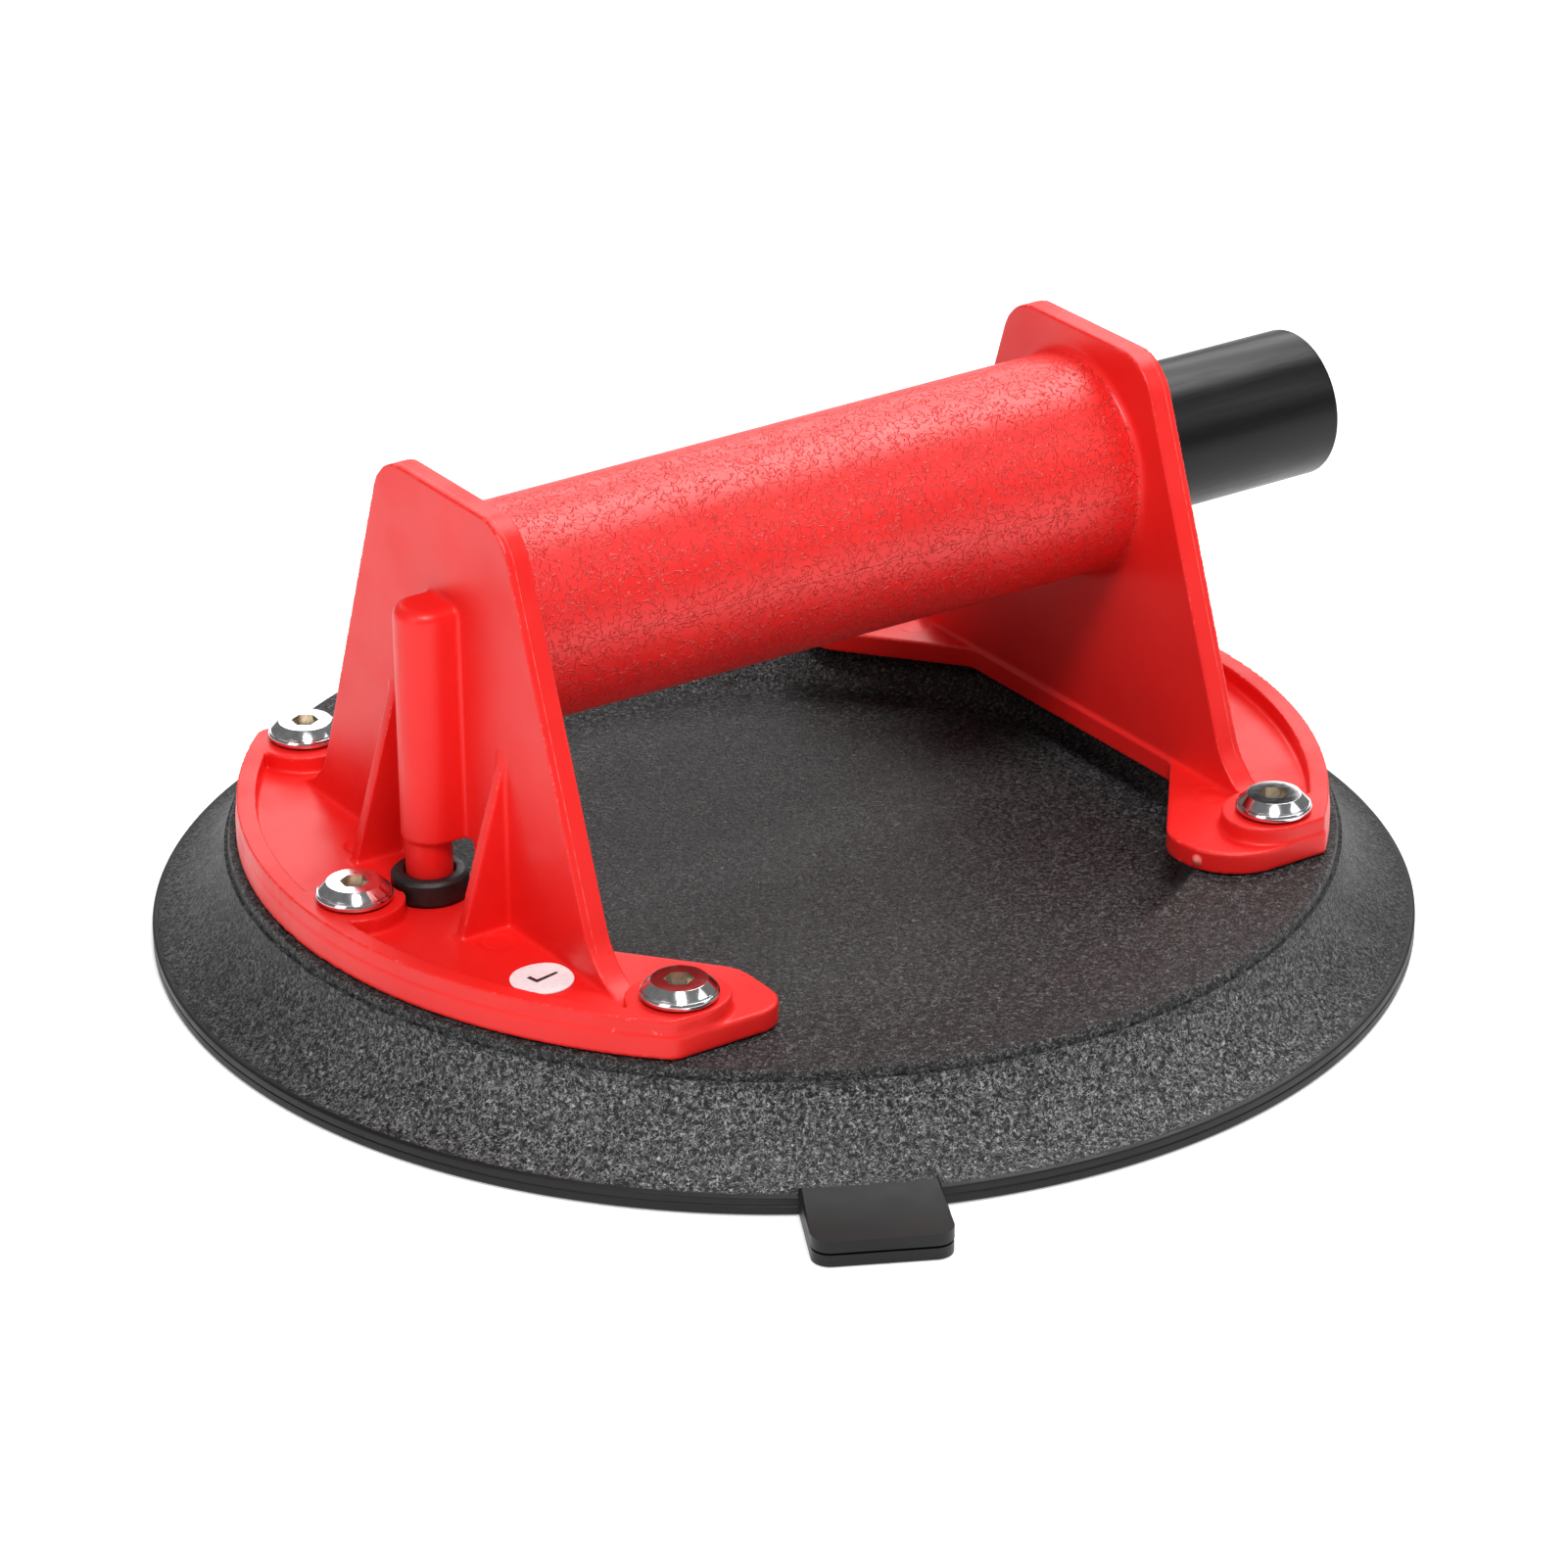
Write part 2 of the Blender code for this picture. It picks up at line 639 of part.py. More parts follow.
def plunger_tube():
    """Thumb-pushed sleeve of the pump, closed at its outer end."""
    inner = PLUNGER_R - PLUNGER_WALL
    edge = 1.2 * MM
    profile = [
        (inner, PLUNGER_START_X),
        (PLUNGER_R, PLUNGER_START_X),
        (PLUNGER_R, PLUNGER_END_X - edge),
        (PLUNGER_R - 0.35 * edge, PLUNGER_END_X - 0.35 * edge),
        (PLUNGER_R - edge, PLUNGER_END_X),
        (0.0, PLUNGER_END_X),
        (0.0, PLUNGER_END_X - PLUNGER_WALL),
        (inner, PLUNGER_END_X - PLUNGER_WALL),
    ]
    bm = turned(profile, closed=True)
    return along_x(place("plunger_tube", bm, black_plastic("plunger_plastic")))


def piston():
    """Piston head with its plug in the sleeve, and the U-shaped cup seal in its groove."""
    plug_r = PLUNGER_R - PLUNGER_WALL - GAP
    front, groove, land, back = PISTON_X
    hub_r = 10.0 * MM
    head_r = 13.6 * MM
    head = [
        (0.0, front - 2.0 * MM),
        (7.4 * MM, front - 2.0 * MM),
        (7.4 * MM, front),
        (head_r, front),
        (head_r, groove),
        (hub_r, groove),
        (hub_r, land),
        (head_r, land),
        (head_r, back),
        (plug_r, back),
        (plug_r, back + 10.0 * MM),
        (0.0, back + 10.0 * MM),
    ]
    along_x(place("piston_head", turned(head), black_plastic("piston_plastic")))
    low, high = groove + GAP, land - GAP
    cup = [
        (hub_r + GAP, low),
        (head_r, low),
        (BORE_R - 0.25 * MM, high),
        (BORE_R - 0.9 * MM, high),
        (12.4 * MM, low + 0.8 * MM),
        (11.0 * MM, high),
        (hub_r + GAP, high),
    ]
    along_x(place("piston_cup_seal", turned(cup, closed=True), black_rubber("cup_rubber")))


def guide_bush():
    """Bush that guides the plunger and stops the piston at full reach."""
    inner = PLUNGER_R + 0.25 * MM
    outer = BORE_R - GAP
    low, high = BUSH_X
    profile = [(inner, low), (outer, low), (outer, high), (inner + 0.5 * MM, high), (inner, high - 0.5 * MM)]
    along_x(place("guide_bush", turned(profile, closed=True), black_plastic("bush_plastic")))


def bush_clip():
    """Internal snap ring that holds the bush, open at its lower side."""
    low, high = CLIP_X
    steps = 26
    opening = math.radians(32.0)
    outline = []
    for radius, order in ((CLIP_R, range(steps + 1)), (13.4 * MM, range(steps, -1, -1))):
        for step in order:
            angle = -math.pi / 2 + opening / 2 + (2 * math.pi - opening) * step / steps
            outline.append((radius * math.cos(angle), AXIS_Z + radius * math.sin(angle)))
    place("bush_clip", prism(outline, low, high, "X"), steel("clip_steel"))


def inspection_sticker():
    """Blank round paper dot on the left flange."""
    low = FLANGE_FLOOR + 0.1 * MM
    dot = place("inspection_sticker", prism(
        disc(0.0, 0.0, 4.9 * MM), low, low + 0.2 * MM), principled("sticker_paper", (0.86, 0.86, 0.86), 0.5))
    dot.location = (-67.0 * MM, -35.1 * MM, 0.0)


def build():
    clear_scene()
    handle_body()
    vacuum_pad()
    stiffener_ring()
    threaded_inserts()
    clamp_screws()
    air_port_grommet()
    filter_disc()
    inlet_valve()
    return_spring()
    plunger_tube()
    piston()
    guide_bush()
    bush_clip()
    inspection_sticker()


build()
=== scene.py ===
"""Looks of the hand vacuum cup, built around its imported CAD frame.

Sizes here are millimetres in the CAD frame; place() turns them into metres. The red handle, rubber
pad, screws, grommet, plunger, bush, clip and sticker are rebuilt finely in place of their CAD nodes.
The hidden pump parts keep their CAD meshes and get new materials.
"""

import json
import math

import bmesh
import bpy
from mathutils import Matrix, Vector

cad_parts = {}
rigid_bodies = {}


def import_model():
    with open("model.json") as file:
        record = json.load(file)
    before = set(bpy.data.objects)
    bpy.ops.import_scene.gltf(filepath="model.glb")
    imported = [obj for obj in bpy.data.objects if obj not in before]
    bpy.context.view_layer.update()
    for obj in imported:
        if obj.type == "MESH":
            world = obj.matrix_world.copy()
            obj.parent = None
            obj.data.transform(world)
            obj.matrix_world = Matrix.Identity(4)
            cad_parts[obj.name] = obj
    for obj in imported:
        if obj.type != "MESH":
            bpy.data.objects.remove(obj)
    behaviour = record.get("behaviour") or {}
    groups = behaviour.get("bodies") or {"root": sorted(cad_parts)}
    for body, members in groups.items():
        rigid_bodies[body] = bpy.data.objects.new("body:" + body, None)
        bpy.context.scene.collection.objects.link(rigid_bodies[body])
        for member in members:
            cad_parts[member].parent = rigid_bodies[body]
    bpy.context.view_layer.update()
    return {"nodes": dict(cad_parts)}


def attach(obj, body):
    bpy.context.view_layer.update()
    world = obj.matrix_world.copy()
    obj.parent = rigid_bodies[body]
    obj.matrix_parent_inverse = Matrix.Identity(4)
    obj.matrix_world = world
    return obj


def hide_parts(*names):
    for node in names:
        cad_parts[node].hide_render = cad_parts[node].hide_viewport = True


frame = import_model()

MM = 0.001
GAP = 0.3

# Handle moulding. A value by side holds 1 for the right bracket and -1 for the left one.
AXIS_Z = 64.2
TUBE_R = (17.5, 18.2)
BORE_R = 14.5
BORE_START = -50.0
PLATE_IN = 57.5
PLATE_OUT = 61.5
PLATE_TOP = 86.9
PLATE_HALF_W = 27.5
PLATE_HALF_W_Z = 60.0
PLATE_SLOPE = 0.36
FLANGE_LOW = 17.35
FLANGE_FLOOR = 20.9
FLANGE_TOP = 23.7
FLANGE_R = 87.4
RIM_STEP = 0.25
RIM_IN_R = 84.0
RIM_REACH = 52.0
FLANGE_IN_X = 57.0
EAR_IN_X = 40.2
EAR_Y = 62.6
EAR_INNER_Y = 27.5
EAR_KNEE_Y = 48.4
EAR_INNER_R = {1: 10.5, -1: 5.5}
EAR_CORNER_R = {1: 0.7, -1: 4.0}
FOOT_REACH = 11.0
WINDOW_HALF_W = 6.9
GATE_MARK = (40.9, -55.6, 19.0)
GATE_R = 0.75
EJECTOR_MARKS = (
    (54.6, -41.0),
    (54.6, 41.0),
    (-54.6, 41.0),
    (-65.8, -20.4),
    (-65.8, 20.4),
    (66.5, -22.0),
    (66.5, 22.0),
)
EJECTOR_R = 2.9
EJECTOR_DEPTH = 0.22

# Screws
SCREW_CIRCLE_R = 78.9
BOSS_R = 8.3
MID_BOSS_R = 7.8
SCREW_ANGLES = (-45.0, 0.0, 45.0, 135.0, 180.0, -135.0)
SHANK_R = 2.6
HEAD_LOW = 24.0
HEAD_TOP = 26.7
SOCKET_AF = 4.0
SOCKET_FLOOR = 25.1
SOCKET_TURN = math.radians(-3.7)
SCREW_TIP = 7.9

# Air duct
PILLAR_X = -64.8
DUCT_X = -65.5
PILLAR_R = 4.8
PILLAR_LOW = 31.0
PILLAR_TOP = 69.5
SPIGOT_R = 3.7
COLLAR_CLEAR_R = 6.45
SPIGOT_LOW = 23.8
DUCT_R = 1.8
GUSSET_Y = 16.0
GUSSET_T = 2.0
GUSSET_FOOT_X = 70.2
GUSSET_TOP = 50.0

# Rubber pad
PAD_R = 101.5
RING_TOP = 17.05
RING_OUTER_R = 89.3
RING_INNER_R = 69.2
BOWL_FLOOR_R = 62.5
BOWL_FLOOR = 10.0
LIP_H = 3.1
LIP_SEAM = 1.6
SEAL_INNER_R = 97.5
CAVITY_H = 4.6
CAVITY_R = 88.0
FLARE_POWER = 1.54
TAB_ANGLE = math.radians(-116.7)
TAB_REACH = 116.5
TAB_W = 21.0
TAB_H = 4.2
STIFFENER_R = (71.0, 86.4)
STIFFENER_Z = (8.4, 10.0)
INSERT_R = 4.0
INSERT_FLANGE_R = 5.4
PORT_BOSS_R = 8.0

# Plunger end of the pump
PLUNGER_R = 12.2
PLUNGER_START = 47.0
PLUNGER_END = 102.5
BUSH_X = (47.0, 58.2)
CLIP_X = (58.7, 59.9)
CLIP_R = 15.6

# Sticker
STICKER_AT = (-67.0, -35.1)
STICKER_R = 4.85
STICKER_T = 0.2

# Finest shape of the handle's mesh
VOXEL = 0.3

RED = (0.82, 0.014, 0.011)
RED_DEEP = (0.77, 0.011, 0.009)
# Pale red for worn edges, seams and the gate mark; on the grip it is also a painted highlight along the
# parting line and the ridges.
RED_WEAR_AND_HIGHLIGHT = (0.90, 0.20, 0.18)

# Lights: name, azimuth, elevation, distance, width, height, power
LIGHTS = (
    ("key_light", -28.0, 60.0, 1.2, 0.3, 0.3, 9.0),
    ("left_light", -76.0, 30.0, 1.2, 0.5, 0.7, 2.8),
    ("right_light", 50.0, 35.0, 1.3, 0.5, 0.6, 1.6),
    ("rear_light", 115.0, 58.0, 1.4, 0.8, 0.7, 11.0),
    ("back_light", 146.0, 27.0, 1.6, 1.3, 0.5, 6.0),
)

# Camera: place in metres, azimuth, elevation and roll in degrees, focal length for a 36 mm sensor
CAMERA_AT = (-0.46403, -0.69702, 0.41767)
CAMERA_TURN = (-33.67, 25.31, -0.553)
CAMERA_LENS = 132.8


# ---------------------------------------------------------------- mesh helpers


def turned(profile, steps, closed=False):
    """Turns (radius, height) points about Z. A point at radius 0 is a pole."""
    bm = bmesh.new()
    rings = []
    for radius, height in profile:
        count = 1 if radius == 0.0 else steps
        ring = []
        for step in range(count):
            angle = 2 * math.pi * (step + 0.5) / steps
            spot = (radius * math.cos(angle), radius * math.sin(angle), height)
            ring.append(bm.verts.new(spot))
        rings.append(ring)
    pairs = list(zip(rings, rings[1:]))
    if closed:
        pairs.append((rings[-1], rings[0]))
    for low, high in pairs:
        if len(low) == 1 and len(high) == 1:
            continue
        for step in range(steps):
            after = (step + 1) % steps
            if len(low) == 1:
                bm.faces.new((low[0], high[after], high[step]))
            elif len(high) == 1:
                bm.faces.new((low[step], low[after], high[0]))
            else:
                bm.faces.new((low[step], low[after], high[after], high[step]))
    return bm


def rounded(corners, steps=10, closed=True):
    """Outline through (x, y, radius) corners, each rounded by an arc of its radius."""
    points = []
    count = len(corners)
    for index, (x, y, radius) in enumerate(corners):
        corner = Vector((x, y))
        if radius == 0.0 or (not closed and index in (0, count - 1)):
            points.append(corner)
            continue
        before = (Vector(corners[index - 1][:2]) - corner).normalized()
        after = (Vector(corners[(index + 1) % count][:2]) - corner).normalized()
        half = before.angle(after) / 2
        centre = corner + (before + after).normalized() * (radius / math.sin(half))
        start = corner + before * (radius / math.tan(half)) - centre
        end = corner + after * (radius / math.tan(half)) - centre
        turn = -start.angle_signed(end)
        for step in range(steps + 1):
            points.append(centre + Matrix.Rotation(turn * step / steps, 2) @ start)
    return [tuple(point) for point in points]


def stacked(outlines, upright="Z"):
    """Solid through equal-length outlines, each given with its level along the upright axis.

    The outlines are XY ones for "Z", YZ ones for "X" and XZ ones for "Y".
    """
    bm = bmesh.new()
    rings = []
    for outline, level in outlines:
        ring = []
        for a, b in outline:
            spots = {"X": (level, a, b), "Y": (a, level, b), "Z": (a, b, level)}
            ring.append(bm.verts.new(spots[upright]))
        rings.append(ring)
    for low, high in zip(rings, rings[1:]):
        for index in range(len(low)):
            after = (index + 1) % len(low)
            bm.faces.new((low[index], low[after], high[after], high[index]))
    bm.faces.new(rings[0])
    bm.faces.new(rings[-1])
    return bm


def prism(outline, low, high, upright="Z"):
    return stacked([(outline, low), (outline, high)], upright)


def disc(x, y, radius, steps=48):
    points = []
    for step in range(steps):
        angle = 2 * math.pi * (step + 0.5) / steps
        points.append((x + radius * math.cos(angle), y + radius * math.sin(angle)))
    return points


def place(name, bm, collection=None):
    """Turns a bmesh in millimetres into an object in metres."""
    bmesh.ops.recalc_face_normals(bm, faces=bm.faces)
    bmesh.ops.scale(bm, vec=(MM, MM, MM), verts=bm.verts)
    mesh = bpy.data.meshes.new(name)
    bm.to_mesh(mesh)
    bm.free()
    obj = bpy.data.objects.new(name, mesh)
    (collection or bpy.context.scene.collection).objects.link(obj)
    return obj


def lay_along_x(bm):
    """Lays a shape turned about Z on the pump axis, with its Z along +X."""
    turn = Matrix.Rotation(math.pi / 2, 3, "Y")
    bmesh.ops.rotate(bm, verts=bm.verts, matrix=turn)
    bmesh.ops.translate(bm, verts=bm.verts, vec=(0.0, 0.0, AXIS_Z))
    return bm


def shift(bm, x, y):
    bmesh.ops.translate(bm, verts=bm.verts, vec=(x, y, 0.0))
    return bm


def combine(obj, operand, operation):
    """Adds an exact Boolean with an object, or with all of a collection."""
    modifier = obj.modifiers.new(operation, "BOOLEAN")
    modifier.operation = operation
    modifier.solver = "EXACT"
    if isinstance(operand, bpy.types.Collection):
        modifier.operand_type = "COLLECTION"
        modifier.collection = operand
    else:
        modifier.object = operand


def bake_modifiers(obj):
    """Replaces the object's mesh by what its modifiers make of it."""
    graph = bpy.context.evaluated_depsgraph_get()
    mesh = bpy.data.meshes.new_from_object(obj.evaluated_get(graph), depsgraph=graph)
    obj.modifiers.clear()
    obj.data = mesh


def drop(collection):
    for obj in list(collection.objects):
        bpy.data.objects.remove(obj, do_unlink=True)
    bpy.data.collections.remove(collection)


def helpers(name):
    collection = bpy.data.collections.new(name)
    bpy.context.scene.collection.children.link(collection)
    return collection


def smooth(obj, angle=35.0):
    obj.data.shade_smooth()
    obj.data.set_sharp_from_angle(angle=math.radians(angle))
    return obj


def finish_piece(obj, body, slot, materials, *nodes):
    """Gives a rebuilt piece its materials and body, and hides the CAD nodes it stands for."""
    obj.data.materials.clear()
    for material in materials:
        obj.data.materials.append(material)
    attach(obj, body)
    if nodes:
        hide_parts(*nodes)


def screw_places():
    places = []
    for angle in SCREW_ANGLES:
        turn = math.radians(angle)
        places.append((SCREW_CIRCLE_R * math.cos(turn), SCREW_CIRCLE_R * math.sin(turn)))
    return places


# ---------------------------------------------------------------- material helpers


class Graph:
    """A material's node tree, with a short call for each kind of node. Lengths are millimetres."""

    def __init__(self, name):
        self.material = bpy.data.materials.new(name)
        self.material.use_nodes = True
        self.tree = self.material.node_tree
        self.shader = self.tree.nodes["Principled BSDF"]
        coordinates = self.tree.nodes.new("ShaderNodeTexCoord")
        self.mm = self.scaled(coordinates.outputs["Object"], (1 / MM,) * 3)

    def put(self, kind, values, **settings):
        node = self.tree.nodes.new(kind)
        for key, value in settings.items():
            setattr(node, key, value)
        for key, value in values.items():
            if isinstance(value, bpy.types.NodeSocket):
                self.tree.links.new(value, node.inputs[key])
            else:
                node.inputs[key].default_value = value
        return node

    def vector_math(self, operation, vector, other):
        return self.put("ShaderNodeVectorMath", {0: vector, 1: other}, operation=operation)

    def scaled(self, vector, factor):
        return self.vector_math("MULTIPLY", vector, factor).outputs[0]

    def moved(self, offset):
        return self.vector_math("ADD", self.mm, offset).outputs[0]

    def noise(self, size, detail=2.0, vector=None, distortion=0.0):
        values = {
            "Vector": vector or self.mm,
            "Scale": 1 / size,
            "Detail": detail,
            "Distortion": distortion,
        }
        return self.put("ShaderNodeTexNoise", values).outputs[0]

    def cells(self, size):
        values = {"Vector": self.mm, "Scale": 1 / size}
        return self.put("ShaderNodeTexVoronoi", values).outputs["Distance"]

    def math(self, operation, a, b=0.0):
        return self.put("ShaderNodeMath", {0: a, 1: b}, operation=operation).outputs[0]

    def ramp(self, value, low, high, to_low=0.0, to_high=1.0):
        """Smooth step of value from low to high, on to to_low to to_high."""
        values = {
            "Value": value,
            "From Min": low,
            "From Max": high,
            "To Min": to_low,
            "To Max": to_high,
        }
        return self.put("ShaderNodeMapRange", values, interpolation_type="SMOOTHSTEP").outputs[0]

    def mix(self, share, first, second):
        node = self.put("ShaderNodeMix", {0: share}, data_type="RGBA")
        for socket, colour in ((node.inputs[6], first), (node.inputs[7], second)):
            if isinstance(colour, bpy.types.NodeSocket):
                self.tree.links.new(colour, socket)
            else:
                socket.default_value = (*colour, 1.0)
        return node.outputs[2]

    def worms(self, size, width, offset=(0.0, 0.0, 0.0), distortion=0.4):
        """Thin winding lines: where a noise crosses its middle value."""
        field = self.noise(size, 1.0, self.moved(offset), distortion)
        away = self.math("ABSOLUTE", self.math("SUBTRACT", field, 0.5))
        return self.ramp(away, 0.0, width, 1.0, 0.0)

    def axes(self):
        return self.put("ShaderNodeSeparateXYZ", {0: self.mm}).outputs

    def bump(self, height, depth, normal=None):
        values = {"Height": height, "Distance": depth * MM, "Strength": 1.0}
        if normal is not None:
            values["Normal"] = normal
        return self.put("ShaderNodeBump", values).outputs[0]

    def finish(self, colour, roughness, normal=None, **fixed):
        """Feeds the shader. Values in fixed are the same all over and go on its own sockets."""
        self.tree.links.new(colour, self.shader.inputs["Base Color"])
        if isinstance(roughness, bpy.types.NodeSocket):
            self.tree.links.new(roughness, self.shader.inputs["Roughness"])
        else:
            self.shader.inputs["Roughness"].default_value = roughness
        if normal is not None:
            self.tree.links.new(normal, self.shader.inputs["Normal"])
        for key, value in fixed.items():
            self.shader.inputs[key.replace("_", " ")].default_value = value
        return self.material


def red_base(graph):
    """Colour of the red moulding: slow mottling, paler worn edges, a pale gate mark."""
    mottle = graph.noise(26.0, 3.0)
    colour = graph.mix(graph.ramp(mottle, 0.35, 0.65), RED, RED_DEEP)
    pointed = graph.put("ShaderNodeNewGeometry", {}).outputs["Pointiness"]
    edge = graph.ramp(pointed, 0.52, 0.57)
    broken = graph.ramp(graph.noise(0.8, 3.0), 0.50, 0.62)
    patches = graph.ramp(graph.noise(12.0, 2.0), 0.42, 0.6, 0.15, 0.75)
    pale_marks = graph.math("MULTIPLY", edge, graph.math("MULTIPLY", broken, patches))
    from_gate = graph.vector_math("DISTANCE", graph.mm, GATE_MARK).outputs["Value"]
    gate = graph.ramp(from_gate, GATE_R + 0.3, GATE_R + 0.05, 0.0, 0.85)
    return graph.mix(graph.math("MAXIMUM", pale_marks, gate), colour, RED_WEAR_AND_HIGHLIGHT)


def seam(graph, value, middle, width):
    """A thin raised line where value is middle."""
    away = graph.math("ABSOLUTE", graph.math("SUBTRACT", value, middle))
    return graph.ramp(away, 0.0, width, 1.0, 0.0)


def red_smooth():
    """Plates and flanges: fine spark-eroded texture and a thin pale seam along the plate edges."""
    graph = Graph("red_abs_smooth")
    x, _, z = graph.axes()
    line = seam(graph, graph.math("ABSOLUTE", x), PLATE_IN + 2.9, 0.13)
    line = graph.math("MULTIPLY", line, graph.ramp(z, FLANGE_TOP + 1.0, FLANGE_TOP + 3.0))
    line = graph.math("MULTIPLY", line, graph.ramp(graph.noise(1.4, 4.0), 0.35, 0.6, 0.12, 0.55))
    colour = graph.mix(line, red_base(graph), RED_WEAR_AND_HIGHLIGHT)
    grain = graph.bump(graph.noise(0.5, 2.0), 0.03)
    normal = graph.bump(line, 0.05, grain)
    scuff = graph.ramp(graph.noise(9.0, 4.0), 0.4, 0.7, 0.38, 0.47)
    return graph.finish(colour, scuff, normal, Specular_IOR_Level=0.4)


def red_grip():
    """Grip tube: leather grain of winding ridges over a soft swell, with the mould's parting line; the
    parting line and the ridges are painted paler as a painted highlight.
    """
    graph = Graph("red_abs_grip")
    first = graph.worms(1.25, 0.045, distortion=0.7)
    second = graph.worms(1.35, 0.045, (31.0, 7.0, 12.0), 0.7)
    share = graph.ramp(graph.noise(2.6, 1.0, graph.moved((9.0, 2.0, 50.0))), 0.48, 0.52)
    kept = graph.ramp(graph.noise(1.6, 1.0, graph.moved((19.0, 5.0, 5.0))), 0.36, 0.44)
    first = graph.math("MULTIPLY", first, share)
    second = graph.math("MULTIPLY", second, graph.math("SUBTRACT", 1.0, share))
    lines = graph.math("MULTIPLY", graph.math("ADD", first, second), kept)
    swell = graph.noise(1.6, 1.0)
    height = graph.math("ADD", graph.math("MULTIPLY", swell, 0.2), lines)
    grain = graph.bump(height, 0.17)
    _, y, z = graph.axes()
    front = graph.ramp(y, -1.0, 1.0, 1.0, 0.0)
    part = graph.math("MULTIPLY", seam(graph, z, AXIS_Z + 0.4, 0.14), front)
    normal = graph.bump(part, 0.10, grain)
    # Painted highlight: the front parting line and the grain's ridges are painted paler, standing for
    # the light they catch.
    pale_marks = graph.math("MULTIPLY", part, 0.5)
    pale_marks = graph.math("MAXIMUM", pale_marks, graph.math("MULTIPLY", lines, 0.10))
    colour = graph.mix(pale_marks, red_base(graph), RED_WEAR_AND_HIGHLIGHT)
    rough = graph.ramp(graph.noise(5.0, 3.0), 0.35, 0.65, 0.36, 0.42)
    return graph.finish(colour, rough, normal, Specular_IOR_Level=0.6)


def pad_rubber():
    """Pad: fine winding grain, deeper on the flare, and a painted highlight: the flare's front, which
    faces the key light, is painted paler.

    The lip's edge, the lift tab and the vacuum side inside the cavity are smooth.
    """
    graph = Graph("pad_rubber")
    z = graph.axes()[2]
    flat = graph.scaled(graph.mm, (1.0, 1.0, 0.0))
    radius = graph.vector_math("LENGTH", flat, (0.0, 0.0, 0.0)).outputs["Value"]
    on_flare = graph.ramp(radius, RING_OUTER_R - 0.3, RING_OUTER_R + 0.6)
    toward = graph.vector_math("DOT_PRODUCT", graph.mm, (-0.45, -0.89, 0.0)).outputs["Value"]
    bare = graph.ramp(radius, PAD_R - 1.6, PAD_R - 0.5, 1.0, 0.0)
    under = graph.ramp(z, CAVITY_H + 0.2, CAVITY_H + 0.8)
    low_part = graph.ramp(radius, CAVITY_R - 1.0, CAVITY_R + 1.0)
    grained = graph.math("MULTIPLY", bare, graph.math("MAXIMUM", under, low_part))
    # Painted highlight: the sector of the flare that faces the key light and the camera, found from
    # toward.
    painted_front_highlight = graph.math("MULTIPLY", on_flare, graph.ramp(toward, 25.0, 85.0))
    painted_front_highlight = graph.math("MULTIPLY", painted_front_highlight, grained)
    ridges = graph.worms(0.62, 0.07, distortion=0.9)
    more = graph.worms(0.75, 0.06, (13.0, 5.0, 2.0), 0.7)
    broken = graph.ramp(graph.noise(0.8, 2.0, graph.moved((3.0, 9.0, 1.0))), 0.38, 0.52)
    squiggles = graph.math("MULTIPLY", graph.math("MAXIMUM", ridges, more), broken)
    pits = graph.ramp(graph.noise(0.7, 2.0, graph.moved((1.0, 7.0, 8.0))), 0.40, 0.60)
    height = graph.math("ADD", squiggles, graph.math("MULTIPLY", pits, 0.8))
    deep = graph.math("MULTIPLY", grained, graph.ramp(on_flare, 0.0, 1.0, 0.8, 1.0))
    normal = graph.bump(graph.math("MULTIPLY", height, deep), 0.3)
    dust = graph.ramp(graph.noise(14.0, 4.0), 0.42, 0.72, 0.0, 0.5)
    colour = graph.mix(dust, (0.007, 0.007, 0.0073), (0.012, 0.012, 0.0125))
    colour = graph.mix(graph.math("MULTIPLY", grained, pits), colour, (0.014, 0.014, 0.0143))
    # Painted highlight: paler pits and brighter squiggles on the flare's front.
    colour = graph.mix(graph.math("MULTIPLY", painted_front_highlight, pits), colour, (0.045, 0.045, 0.0455))
    colour = graph.mix(graph.math("MULTIPLY", squiggles, grained), colour, (0.19, 0.19, 0.19))
    colour = graph.mix(graph.math("MULTIPLY", squiggles, painted_front_highlight), colour, (0.44, 0.44, 0.44))
    rough = graph.ramp(graph.noise(7.0, 3.0), 0.35, 0.65, 0.42, 0.5)
    return graph.finish(colour, rough, normal, Specular_IOR_Level=0.3)


def smooth_rubber(name, level=0.018):
    graph = Graph(name)
    shade = graph.ramp(graph.noise(2.0, 3.0), 0.4, 0.7)
    colour = graph.mix(shade, (level,) * 3, (level * 1.8,) * 3)
    normal = graph.bump(graph.noise(0.4, 2.0), 0.01)
    return graph.finish(colour, graph.ramp(graph.noise(1.5), 0.3, 0.7, 0.4, 0.55), normal)


def plunger_plastic():
    """Satin black sleeve with fine rub marks along its travel and a few specks."""
    graph = Graph("plunger_plastic")
    rub = graph.noise(0.5, 3.0, graph.scaled(graph.mm, (0.06, 1.0, 1.0)))
    specks = graph.ramp(graph.cells(5.2), 0.035, 0.022)
    colour = graph.mix(specks, (0.005, 0.0052, 0.0058), (0.10, 0.10, 0.10))
    rough = graph.ramp(rub, 0.35, 0.7, 0.30, 0.38)
    wavy = graph.bump(graph.noise(18.0, 2.0), 0.10)
    normal = graph.bump(rub, 0.006, wavy)
    return graph.finish(colour, rough, normal, Specular_IOR_Level=0.25)


def metal(name, colour, low, high, size=0.6, depth=0.004):
    graph = Graph(name)
    marks = graph.noise(size, 4.0)
    tint = tuple(0.8 * part for part in colour)
    shade = graph.mix(graph.ramp(graph.noise(2.5, 2.0), 0.35, 0.7), colour, tint)
    normal = graph.bump(marks, depth)
    return graph.finish(shade, graph.ramp(marks, 0.3, 0.7, low, high), normal, Metallic=1.0)


